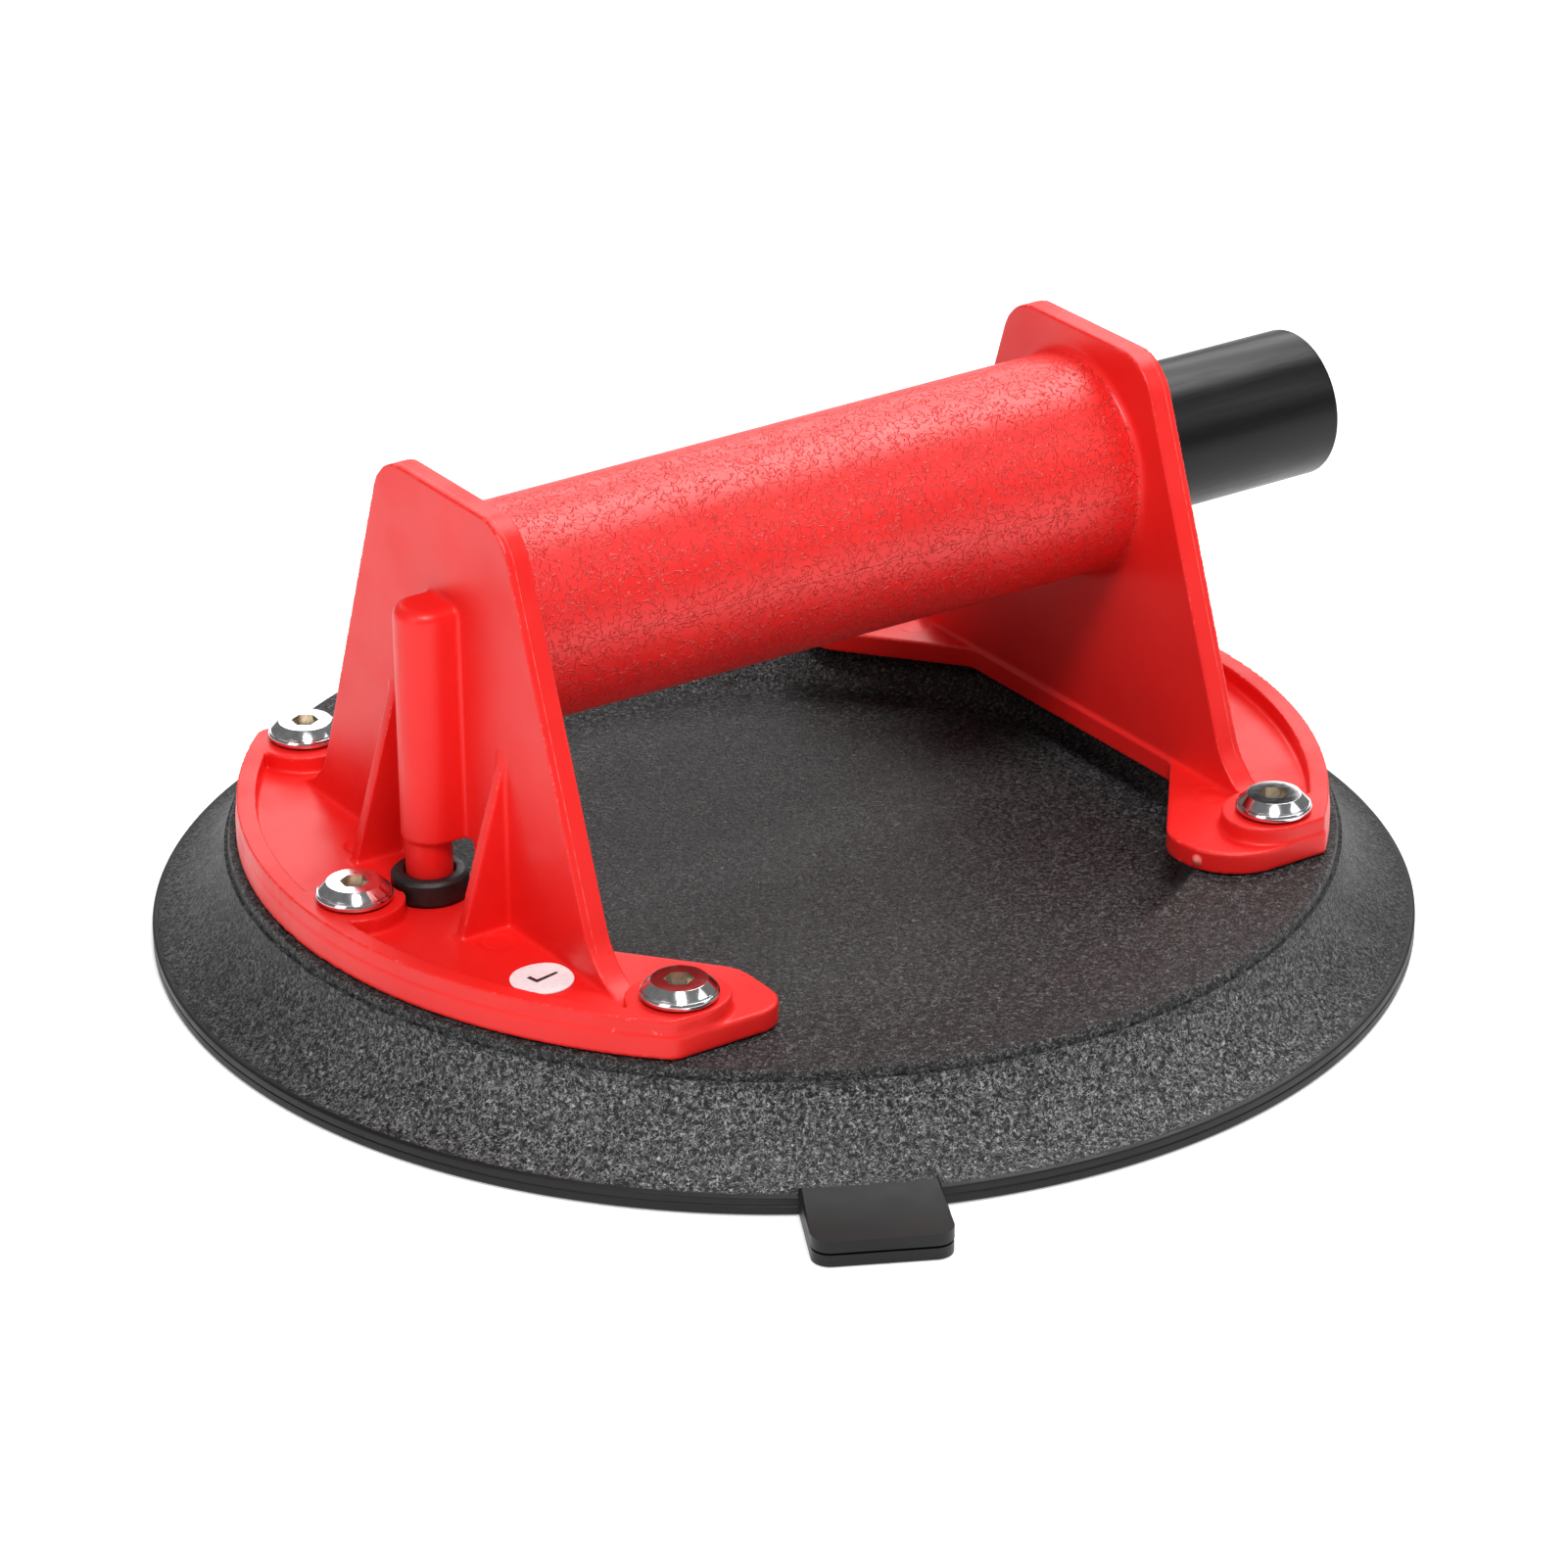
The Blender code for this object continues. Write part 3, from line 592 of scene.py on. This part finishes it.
def moulded(name, colour, roughness=0.4):
    graph = Graph(name)
    darker = tuple(0.75 * part for part in colour)
    shade = graph.mix(graph.ramp(graph.noise(4.0, 3.0), 0.35, 0.7), colour, darker)
    normal = graph.bump(graph.noise(0.4, 2.0), 0.012)
    rough = graph.ramp(graph.noise(3.0), 0.3, 0.7, roughness - 0.05, roughness + 0.06)
    return graph.finish(shade, rough, normal)


def felt():
    graph = Graph("filter_felt")
    fibres = graph.noise(0.5, 5.0, graph.scaled(graph.mm, (1.0, 3.0, 1.0)), 1.5)
    shade = graph.mix(graph.ramp(fibres, 0.35, 0.65), (0.62, 0.6, 0.54), (0.36, 0.34, 0.3))
    return graph.finish(shade, 0.95, graph.bump(fibres, 0.25), Sheen_Weight=0.3)


def paper():
    graph = Graph("sticker_paper")
    clouds = graph.ramp(graph.noise(0.8, 4.0), 0.4, 0.7)
    shade = graph.mix(clouds, (0.93, 0.92, 0.93), (0.86, 0.84, 0.86))
    rough = graph.ramp(graph.noise(2.0), 0.3, 0.7, 0.35, 0.5)
    return graph.finish(shade, rough, graph.bump(graph.noise(0.3), 0.008))


# ---------------------------------------------------------------- handle


def flange_outline(side, inset=0.0):
    """Base layer of one bracket: a segment of the ring with an ear at each end.

    The left bracket's outer ear corners are well rounded, and the right bracket's nearly square.
    """
    outer, ear_y = FLANGE_R - inset, EAR_Y - inset
    end_x = math.sqrt(outer**2 - ear_y**2)
    ear = [
        (FLANGE_IN_X, -EAR_INNER_Y, 4.0),
        (EAR_IN_X, -EAR_KNEE_Y, 8.0),
        (EAR_IN_X, -ear_y, EAR_INNER_R[side]),
        (end_x, -ear_y, EAR_CORNER_R[side]),
    ]
    reach = math.degrees(math.atan2(ear_y, end_x))
    steps = 40
    arc = []
    for step in range(1, steps):
        angle = math.radians(-reach + 2 * reach * step / steps)
        arc.append((outer * math.cos(angle), outer * math.sin(angle), 0.0))
    other_ear = [(x, -y, radius) for x, y, radius in reversed(ear)]
    return [(side * x, y) for x, y in rounded(ear + arc + other_ear)]


def boss_outline(x, y):
    """Round boss. On an ear its outer half is flattened, to end just inside the ear's edge."""
    if abs(y) < 1.0:
        return disc(x, y, MID_BOSS_R, 96)
    squash = (EAR_Y - RIM_STEP - abs(y)) / BOSS_R
    points = []
    for px, py in disc(x, y, BOSS_R, 96):
        outward = (py - y) * y > 0.0
        points.append((px, y + (py - y) * (squash if outward else 1.0)))
    return points


def raised_layer(side, name, into):
    """Rim and screw bosses of one bracket, kept a small step inside the base's outline."""
    low = FLANGE_FLOOR - 0.4
    steps = 96
    arc = []
    for radius, order in ((FLANGE_R + 2.0, range(steps + 1)), (RIM_IN_R, range(steps, -1, -1))):
        for step in order:
            angle = math.radians(-RIM_REACH + 2 * RIM_REACH * step / steps)
            arc.append((side * radius * math.cos(angle), radius * math.sin(angle)))
    rim = place(name + "_rim", prism(arc, low - 1.0, FLANGE_TOP + 1.0), into)
    bosses = helpers(name + "_bosses")
    for index, (x, y) in enumerate(screw_places()):
        if x * side > 0:
            boss = prism(boss_outline(x, y), low - 2.0, FLANGE_TOP + 2.0)
            place("boss_%d" % index, boss, bosses)
    inside = place(name + "_inside", prism(flange_outline(side, RIM_STEP), low, FLANGE_TOP))
    combine(rim, bosses, "UNION")
    combine(rim, inside, "INTERSECT")
    bake_modifiers(rim)
    drop(bosses)
    bpy.data.objects.remove(inside, do_unlink=True)


def plate_outline(window):
    """Trapezoid side plate with rounded top corners and feet that sweep out on to the flange."""
    base = FLANGE_FLOOR - 0.3
    foot_w = PLATE_HALF_W + PLATE_SLOPE * (PLATE_HALF_W_Z - base)
    top_w = PLATE_HALF_W - PLATE_SLOPE * (PLATE_TOP - PLATE_HALF_W_Z)
    foot_end = foot_w + FOOT_REACH
    low = FLANGE_LOW + 1.0
    corners = [
        (-foot_end, base, 0.0),
        (-foot_w, base, 12.0),
        (-top_w, PLATE_TOP, 8.5),
        (top_w, PLATE_TOP, 8.5),
        (foot_w, base, 12.0),
        (foot_end, base, 0.0),
        (foot_end, low, 0.0),
    ]
    if window:
        corners += [
            (WINDOW_HALF_W, low, 0.0),
            (WINDOW_HALF_W, PILLAR_LOW, 0.0),
            (-WINDOW_HALF_W, PILLAR_LOW, 0.0),
            (-WINDOW_HALF_W, low, 0.0),
        ]
    corners.append((-foot_end, low, 0.0))
    return rounded(corners, 14)


def tube_profile():
    """Grip tube with a small swept root where it meets each plate."""
    past = 1.5
    root = 1.1
    slope = (TUBE_R[1] - TUBE_R[0]) / (2 * PLATE_IN)
    middle = (TUBE_R[0] + TUBE_R[1]) / 2
    ends = []
    for share in (0.0, 0.35, 0.7, 1.0):
        rise = root * (1 - math.sqrt(1 - share**2))
        ends.append((PLATE_IN - root + root * share, rise))
    left = [(middle - slope * x + rise, -x) for x, rise in reversed(ends)]
    right = [(middle + slope * x + rise, x) for x, rise in ends]
    start = [(0.0, -PLATE_IN - past), (left[0][0], -PLATE_IN - past)]
    return start + left + right + [(right[-1][0], PLATE_IN + past), (0.0, PLATE_IN + past)]


def bracket(side, into):
    name = "right" if side > 0 else "left"
    plate = prism(plate_outline(side < 0), side * PLATE_IN, side * PLATE_OUT, "X")
    place(name + "_plate", plate, into)
    place(name + "_base", prism(flange_outline(side), FLANGE_LOW, FLANGE_FLOOR), into)
    raised_layer(side, name, into)


def pillar_outline(radius):
    """Half-round front of the duct pillar, with its back buried in the plate."""
    root = -PLATE_OUT + 1.0
    outline = [(root, radius), (root, -radius)]
    steps = 36
    for step in range(steps + 1):
        angle = math.radians(-90.0 - 180.0 * step / steps)
        outline.append((PILLAR_X + radius * math.cos(angle), radius * math.sin(angle)))
    return outline


def duct(into):
    """Pillar with a rounded cap, the spigot below it and the two gussets beside it."""
    root = -PLATE_OUT + 1.0
    cap_r = 1.8
    cap_steps = 8
    layers = [(pillar_outline(PILLAR_R), PILLAR_LOW)]
    for step in range(cap_steps + 1):
        turn = math.pi / 2 * step / cap_steps
        inset = cap_r * (1 - math.cos(turn))
        level = PILLAR_TOP - cap_r + cap_r * math.sin(turn)
        layers.append((pillar_outline(PILLAR_R - inset), level))
    place("pillar", stacked(layers), into)
    place("spigot", prism(disc(DUCT_X, 0.0, SPIGOT_R), SPIGOT_LOW, PILLAR_LOW + 2.0), into)
    low = FLANGE_FLOOR - 0.35
    gusset = [(root, low), (-GUSSET_FOOT_X, low), (-PLATE_OUT, GUSSET_TOP), (root, GUSSET_TOP)]
    for sign in (-1, 1):
        centre = sign * GUSSET_Y
        rib = prism(gusset, centre - GUSSET_T / 2, centre + GUSSET_T / 2, "Y")
        place("gusset_%d" % sign, rib, into)


def handle_cutters(into):
    """Bore with its clip groove, the duct and inlet holes, the screw holes and the grommet's room."""
    past = PLATE_OUT + 2.0
    bore = [
        (0.0, BORE_START),
        (BORE_R, BORE_START),
        (BORE_R, CLIP_X[0] - GAP),
        (CLIP_R + GAP, CLIP_X[0] - GAP),
        (CLIP_R + GAP, CLIP_X[1] + GAP),
        (BORE_R, CLIP_X[1] + GAP),
        (BORE_R, past),
        (0.0, past),
    ]
    place("bore", lay_along_x(turned(bore, 96)), into)
    place("duct", prism(disc(DUCT_X, 0.0, DUCT_R), SPIGOT_LOW - 2.0, AXIS_Z + DUCT_R), into)
    inlet_r = DUCT_R - 0.2
    start, end = DUCT_X - 0.4, BORE_START + 1.0
    inlet = [(0.0, start), (inlet_r, start), (inlet_r, end), (0.0, end)]
    place("inlet", lay_along_x(turned(inlet, 24)), into)
    for index, (x, y) in enumerate(screw_places()):
        hole = prism(disc(x, y, SHANK_R + 0.5, 32), FLANGE_LOW - 1.0, FLANGE_TOP + 1.0)
        place("screw_hole_%d" % index, hole, into)
    grommet_hole = prism(disc(DUCT_X, 0.0, 4.8), FLANGE_LOW - 1.0, FLANGE_FLOOR + 0.2)
    place("grommet_hole", grommet_hole, into)
    collar = disc(DUCT_X, 0.0, COLLAR_CLEAR_R, 72)
    place("collar_room", prism(collar, FLANGE_FLOOR, FLANGE_TOP + 0.05), into)


def press_marks(mesh):
    """Ejector-pin marks: shallow round dimples in the flange floor."""
    for vert in mesh.vertices:
        point = vert.co / MM
        if abs(point.z - FLANGE_FLOOR) > 0.25:
            continue
        for x, y in EJECTOR_MARKS:
            away = math.hypot(point.x - x, point.y - y)
            if away < EJECTOR_R:
                vert.co.z -= EJECTOR_DEPTH * min(1.0, (EJECTOR_R - away) / 0.3) * MM


def grip_faces(mesh):
    """Gives the faces of the tube's outside the second material."""
    for face in mesh.polygons:
        point = face.center / MM
        radius = math.hypot(point.y, point.z - AXIS_Z)
        if abs(point.x) < PLATE_IN - 0.6 and radius > BORE_R + 1.5:
            face.material_index = 1 if radius < TUBE_R[1] + 0.5 else 0


def handle():
    """The red moulding: exact Booleans, then a fine remesh that rounds every edge a little."""
    adding, cutting = helpers("adding"), helpers("cutting")
    body = place("handle", lay_along_x(turned(tube_profile(), 160)))
    bracket(1, adding)
    bracket(-1, adding)
    duct(adding)
    gate = bmesh.new()
    bmesh.ops.create_icosphere(gate, subdivisions=3, radius=GATE_R)
    bmesh.ops.translate(gate, verts=gate.verts, vec=GATE_MARK)
    place("gate", gate, adding)
    handle_cutters(cutting)
    combine(body, adding, "UNION")
    combine(body, cutting, "DIFFERENCE")
    remesh = body.modifiers.new("remesh", "REMESH")
    remesh.mode = "VOXEL"
    remesh.voxel_size = VOXEL * MM
    remesh.use_smooth_shade = True
    soften = body.modifiers.new("soften", "SMOOTH")
    soften.factor = 0.5
    soften.iterations = 4
    bake_modifiers(body)
    drop(adding)
    drop(cutting)
    press_marks(body.data)
    finish_piece(body, "base", "red_abs", (red_smooth(), red_grip()), "handle_body")
    grip_faces(body.data)


# ---------------------------------------------------------------- pad


def flare(steps=26):
    """Hollow flare from the ring's crease down to the lip, as a quarter of a superellipse."""
    start, end = RING_OUTER_R + 0.15, PAD_R - 0.6
    top, low = RING_TOP - 1.5, LIP_H + 0.05
    points = []
    for step in range(steps + 1):
        share = math.sin(math.pi / 2 * step / steps) ** 1.3
        down = 1 - (1 - (1 - share) ** FLARE_POWER) ** (1 / FLARE_POWER)
        points.append((start + (end - start) * share, low + (top - low) * down))
    return points


def pad_profile():
    top = rounded([
        (0.0, BOWL_FLOOR, 0.0),
        (BOWL_FLOOR_R, BOWL_FLOOR, 0.5),
        (BOWL_FLOOR_R + 1.4, BOWL_FLOOR + 0.35, 1.2),
        (RING_INNER_R - 0.6, RING_TOP, 0.9),
        (RING_OUTER_R - 0.7, RING_TOP, 0.4),
        (RING_OUTER_R - 0.35, RING_TOP - 1.7, 0.1),
        (RING_OUTER_R + 0.15, RING_TOP - 1.5, 0.0),
    ], 4, closed=False)
    edge = 0.32
    lip = rounded([
        (PAD_R - 0.6, LIP_H + 0.05, 0.0),
        (PAD_R, LIP_H - 0.15, edge),
        (PAD_R, LIP_SEAM + 0.12, 0.2),
        (PAD_R - 0.45, LIP_SEAM, 0.1),
        (PAD_R, LIP_SEAM - 0.12, 0.2),
        (PAD_R, 0.0, 0.4),
        (SEAL_INNER_R, 0.0, 0.6),
        (SEAL_INNER_R - 4.0, 2.6, 6.0),
        (CAVITY_R, CAVITY_H, 5.0),
        (0.0, CAVITY_H, 0.0),
    ], 5, closed=False)
    return top[:-1] + flare() + lip[1:]


def tab_layer(grow, low, high, bevel):
    """One layer of the lift tab, with its upper rim bevelled except where it joins the pad."""
    half = TAB_W / 2 + grow
    root = PAD_R - 5.5
    reach = TAB_REACH + grow
    corners = [(root, -half, 0.0), (reach, -half, 2.9), (reach, half, 2.9), (root, half, 0.0)]
    bm = prism(rounded(corners), low, high)
    rims = [edge for edge in bm.edges if abs(edge.verts[0].co.z - edge.verts[1].co.z) < 0.01]
    tops = []
    for edge in rims:
        xs = [vert.co.x for vert in edge.verts]
        at_root = max(xs) < root + 0.01
        if not at_root and edge.verts[0].co.z > (low + high) / 2:
            tops.append(edge)
    bmesh.ops.bevel(bm, geom=tops, offset=bevel, segments=5, profile=0.5, affect="EDGES")
    bmesh.ops.rotate(bm, verts=bm.verts, matrix=Matrix.Rotation(TAB_ANGLE, 3, "Z"))
    return bm


def pad_cutters(into):
    """Hollows for the stiffener ring, the inserts and the air port with its filter."""
    inner, outer = STIFFENER_R[0] - GAP, STIFFENER_R[1] + GAP
    low, high = STIFFENER_Z[0] - GAP, STIFFENER_Z[1] + GAP
    ring = [(inner, low), (outer, low), (outer, high), (inner, high)]
    place("ring_hollow", turned(ring, 96, closed=True), into)
    past = RING_TOP + 0.95
    wide, narrow = INSERT_FLANGE_R + GAP, INSERT_R + GAP
    pocket = [(0.0, 6.4), (wide, 6.4), (wide, 8.5), (narrow, 8.5), (narrow, past), (0.0, past)]
    for index, (x, y) in enumerate(screw_places()):
        place("pocket_%d" % index, shift(turned(pocket, 32), x, y), into)
    port = [
        (0.0, 3.6),
        (4.9, 3.6),
        (4.9, 6.8),
        (2.1, 6.8),
        (2.1, 9.0),
        (4.8, 9.0),
        (4.8, past),
        (0.0, past),
    ]
    place("port", shift(turned(port, 32), DUCT_X, 0.0), into)


def pad():
    """The rubber moulding: a turned body with the lift tab and the port's boss, less its hollows."""
    adding, cutting = helpers("adding"), helpers("cutting")
    body = place("pad", turned(pad_profile(), 288))
    place("tab_low", tab_layer(-0.05, 0.0, 1.85, 0.2), adding)
    place("tab_neck", tab_layer(-0.6, 1.5, 2.6, 0.05), adding)
    place("tab_high", tab_layer(0.0, 2.25, TAB_H, 0.7), adding)
    boss = [(0.0, 8.0), (PORT_BOSS_R, 8.0), (PORT_BOSS_R, RING_TOP), (0.0, RING_TOP)]
    place("port_boss", shift(turned(boss, 48), DUCT_X, 0.0), adding)
    pad_cutters(cutting)
    combine(body, adding, "UNION")
    combine(body, cutting, "DIFFERENCE")
    bake_modifiers(body)
    drop(adding)
    drop(cutting)
    smooth(body, 32.0)
    finish_piece(body, "base", "pad_rubber", (pad_rubber(),), "vacuum_pad")


# ---------------------------------------------------------------- small parts


def screw_mesh():
    """Connector screw: mirror-flat top, bevel, a fine step, a rolled rim and a deep hex socket."""
    profile = rounded([
        (0.0, HEAD_TOP, 0.0),
        (4.3, HEAD_TOP, 0.1),
        (5.62, 25.45, 0.05),
        (5.48, 25.2, 0.03),
        (5.8, 25.2, 0.12),
        (6.05, 24.8, 0.3),
        (5.95, 24.15, 0.3),
        (5.5, HEAD_LOW, 0.1),
        (SHANK_R, HEAD_LOW, 0.0),
        (SHANK_R, SCREW_TIP + 0.6, 0.2),
        (SHANK_R - 0.6, SCREW_TIP, 0.0),
        (0.0, SCREW_TIP, 0.0),
    ], 4, closed=False)
    cutting = helpers("socket")
    body = place("screw_blank", turned(profile, 96))
    corner = SOCKET_AF / math.sqrt(3.0)
    hexagon = prism(disc(0.0, 0.0, corner, 6), SOCKET_FLOOR, HEAD_TOP + 1.3)
    turn = Matrix.Rotation(SOCKET_TURN, 3, "Z")
    bmesh.ops.rotate(hexagon, verts=hexagon.verts, matrix=turn)
    place("hex", hexagon, cutting)
    combine(body, cutting, "DIFFERENCE")
    bake_modifiers(body)
    drop(cutting)
    smooth(body, 20.0)
    mesh = body.data
    bpy.data.objects.remove(body, do_unlink=True)
    return mesh


def screws():
    """Six copies of the screw. Faces inside the socket get the duller second material."""
    mesh = screw_mesh()
    chrome = metal("screw_chrome", (0.78, 0.78, 0.80), 0.10, 0.15, 0.9, 0.003)
    inside = metal("socket_steel", (0.74, 0.68, 0.58), 0.15, 0.24, 0.5, 0.008)
    for index, (x, y) in enumerate(screw_places()):
        number = index + 1
        screw = bpy.data.objects.new("screw_%d" % number, mesh.copy())
        bpy.context.scene.collection.objects.link(screw)
        screw.location = (x * MM, y * MM, 0.0)
        finish_piece(screw, "base", "screw_chrome", (chrome, inside), "clamp_screw_%d" % number)
        for face in screw.data.polygons:
            spot = face.center / MM
            near_axis = math.hypot(spot.x, spot.y) < 2.35
            in_socket = near_axis and HEAD_LOW - 0.2 < spot.z < HEAD_TOP - 0.05
            face.material_index = 1 if in_socket else 0


def grommet():
    """Rubber nipple: collar above the pad's ring, neck through the flange down to the port."""
    profile = rounded([
        (3.75, 24.3, 0.0),
        (4.1, 25.2, 0.3),
        (5.4, 25.2, 0.6),
        (6.08, 24.6, 0.4),
        (6.08, 21.25, 0.3),
        (4.5, 21.25, 0.0),
        (4.5, 9.3, 0.0),
        (1.8, 9.3, 0.0),
        (1.8, 23.3, 0.0),
        (3.75, 23.3, 0.0),
    ], 4, closed=False)
    body = place("port_grommet", shift(turned(profile, 72, closed=True), DUCT_X, 0.0))
    smooth(body)
    rubber = smooth_rubber("seal_rubber", 0.007)
    finish_piece(body, "base", "seal_rubber", (rubber,), "air_port_grommet")


def plunger():
    """Thumb-pushed sleeve, closed at its outer end by a very shallow dished cap."""
    wall = 2.2
    inner = PLUNGER_R - wall
    profile = rounded([
        (inner, PLUNGER_START, 0.0),
        (PLUNGER_R, PLUNGER_START, 0.3),
        (PLUNGER_R, PLUNGER_END, 0.7),
        (9.4, PLUNGER_END, 0.3),
        (9.0, PLUNGER_END - 0.35, 0.3),
        (0.0, PLUNGER_END - 0.35, 0.0),
        (0.0, PLUNGER_END - wall, 0.0),
        (inner, PLUNGER_END - wall, 0.0),
    ], 6, closed=False)
    body = place("plunger", lay_along_x(turned(profile, 144, closed=True)))
    smooth(body)
    finish_piece(body, "plunger", "plunger_plastic", (plunger_plastic(),), "plunger_tube")


def bush():
    inner, outer = PLUNGER_R + 0.25, BORE_R - GAP
    low, high = BUSH_X
    profile = rounded([
        (inner, low + 0.4, 0.0),
        (inner + 0.4, low, 0.0),
        (outer, low, 0.3),
        (outer, high, 0.3),
        (inner, high, 0.5),
    ], 4, closed=False)
    body = smooth(place("bush", lay_along_x(turned(profile, 96, closed=True))))
    plastic = moulded("pump_plastic", (0.022, 0.022, 0.024))
    finish_piece(body, "base", "pump_plastic", (plastic,), "guide_bush")


def clip():
    """Open snap ring in the bore's groove, with its opening downwards."""
    steps = 64
    opening = math.radians(32.0)
    outline = []
    for radius, order in ((CLIP_R, range(steps + 1)), (13.4, range(steps, -1, -1))):
        for step in order:
            angle = -math.pi / 2 + opening / 2 + (2 * math.pi - opening) * step / steps
            outline.append((radius * math.cos(angle), AXIS_Z + radius * math.sin(angle)))
    bm = prism(outline, CLIP_X[0], CLIP_X[1], "X")
    rims = [edge for edge in bm.edges if abs(edge.verts[0].co.x - edge.verts[1].co.x) < 0.01]
    bmesh.ops.bevel(bm, geom=rims, offset=0.15, segments=2, profile=0.5, affect="EDGES")
    body = smooth(place("clip", bm))
    steel = metal("clip_steel", (0.5, 0.5, 0.51), 0.25, 0.4)
    finish_piece(body, "base", "spring_steel", (steel,), "bush_clip")


def sticker():
    """Blank paper dot with a plain hand-drawn tick, slightly lifted at one edge."""
    low = FLANGE_FLOOR + 0.1
    rings, steps = 8, 72
    bm = bmesh.new()
    levels = []
    for level in (low, low + STICKER_T):
        centre = bm.verts.new((0.0, 0.0, level))
        grid = []
        for ring in range(1, rings + 1):
            row = []
            for step in range(steps):
                angle = 2 * math.pi * step / steps
                away = STICKER_R * ring / rings
                lift = 0.25 * max(0.0, math.cos(angle - 0.6)) ** 6 * (ring / rings) ** 4
                spot = (away * math.cos(angle), away * math.sin(angle), level + lift)
                row.append(bm.verts.new(spot))
            grid.append(row)
        levels.append((centre, grid))
        for step in range(steps):
            after = (step + 1) % steps
            bm.faces.new((centre, grid[0][step], grid[0][after]))
            for inner, outer in zip(grid, grid[1:]):
                bm.faces.new((inner[step], outer[step], outer[after], inner[after]))
    (_, lower), (_, upper) = levels
    for step in range(steps):
        after = (step + 1) % steps
        wall = (lower[-1][step], lower[-1][after], upper[-1][after], upper[-1][step])
        bm.faces.new(wall)
    body = smooth(place("sticker", shift(bm, *STICKER_AT)))
    finish_piece(body, "base", "paper", (paper(),), "inspection_sticker")
    tick = [(-2.3, 0.2), (-1.8, 0.75), (-0.7, -0.35), (2.0, 2.3), (2.4, 1.9), (-0.65, -1.3)]
    turn = Matrix.Rotation(math.radians(-35.0), 2)
    spun = [tuple(turn @ Vector(point)) for point in tick]
    bm = prism(spun, low + STICKER_T - 0.01, low + STICKER_T + 0.03)
    mark = place("sticker_tick", shift(bm, *STICKER_AT))
    finish_piece(mark, "base", "paper", (moulded("ink", (0.02, 0.02, 0.022), 0.5),))


def hidden_parts():
    """New materials for the CAD nodes that stay."""
    zinc = metal("zinc_steel", (0.62, 0.62, 0.6), 0.3, 0.45)
    bright = metal("spring_steel", (0.5, 0.5, 0.52), 0.2, 0.35)
    rubber = smooth_rubber("inner_rubber")
    black = moulded("piston_plastic", (0.02, 0.02, 0.022))
    given = {
        "stiffener_ring": zinc,
        "filter_disc": felt(),
        "inlet_valve_disc": rubber,
        "inlet_valve_cage": moulded("white_nylon", (0.74, 0.74, 0.71)),
        "return_spring": bright,
        "piston_head": black,
        "piston_cup_seal": rubber,
    }
    for number in range(1, len(SCREW_ANGLES) + 1):
        given["threaded_insert_%d" % number] = zinc
    for node, material in given.items():
        mesh = frame["nodes"][node].data
        mesh.materials.clear()
        mesh.materials.append(material)


# ---------------------------------------------------------------- stage, light and camera


def floor():
    graph = Graph("floor")
    clouds = graph.ramp(graph.noise(300.0), 0.3, 0.7)
    tone = graph.mix(clouds, (0.82, 0.82, 0.82), (0.79, 0.79, 0.79))
    white = (1.0, 1.0, 1.0, 1.0)
    material = graph.finish(tone, 0.9, Emission_Color=white, Emission_Strength=0.4)
    bm = bmesh.new()
    bmesh.ops.create_circle(bm, cap_ends=True, radius=4000.0, segments=64)
    ground = place("floor", bm)
    ground.location.z = -0.0002
    ground.data.materials.append(material)


def softbox(name, azimuth, elevation, distance, width, height, power):
    """Area light that faces the origin. Azimuth 0 is on the -Y side, elevation is up from the floor."""
    az, el = math.radians(azimuth), math.radians(elevation)
    away = Vector((math.sin(az) * math.cos(el), -math.cos(az) * math.cos(el), math.sin(el)))
    light = bpy.data.lights.new(name, "AREA")
    light.shape = "RECTANGLE"
    light.size = width
    light.size_y = height
    light.energy = power
    lamp = bpy.data.objects.new(name, light)
    bpy.context.scene.collection.objects.link(lamp)
    lamp.location = away * distance
    lamp.rotation_euler = (-lamp.location).to_track_quat("-Z", "Y").to_euler()


def studio():
    world = bpy.data.worlds.new("studio")
    world.use_nodes = True
    background = world.node_tree.nodes["Background"]
    background.inputs["Color"].default_value = (1.0, 1.0, 1.0, 1.0)
    background.inputs["Strength"].default_value = 0.2
    bpy.context.scene.world = world
    for light in LIGHTS:
        softbox(*light)
    bpy.context.scene.view_settings.view_transform = "Standard"


def camera():
    data = bpy.data.cameras.new("camera")
    data.sensor_width = 36.0
    data.lens = CAMERA_LENS
    data.clip_start = 0.05
    view = bpy.data.objects.new("camera", data)
    bpy.context.scene.collection.objects.link(view)
    azimuth, elevation, roll = (math.radians(angle) for angle in CAMERA_TURN)
    turn = Matrix.Rotation(azimuth, 4, "Z") @ Matrix.Rotation(math.pi / 2 - elevation, 4, "X")
    turn = turn @ Matrix.Rotation(roll, 4, "Z")
    view.matrix_world = Matrix.Translation(CAMERA_AT) @ turn
    bpy.context.scene.camera = view


handle()
pad()
screws()
grommet()
plunger()
bush()
clip()
sticker()
hidden_parts()
floor()
studio()
camera()
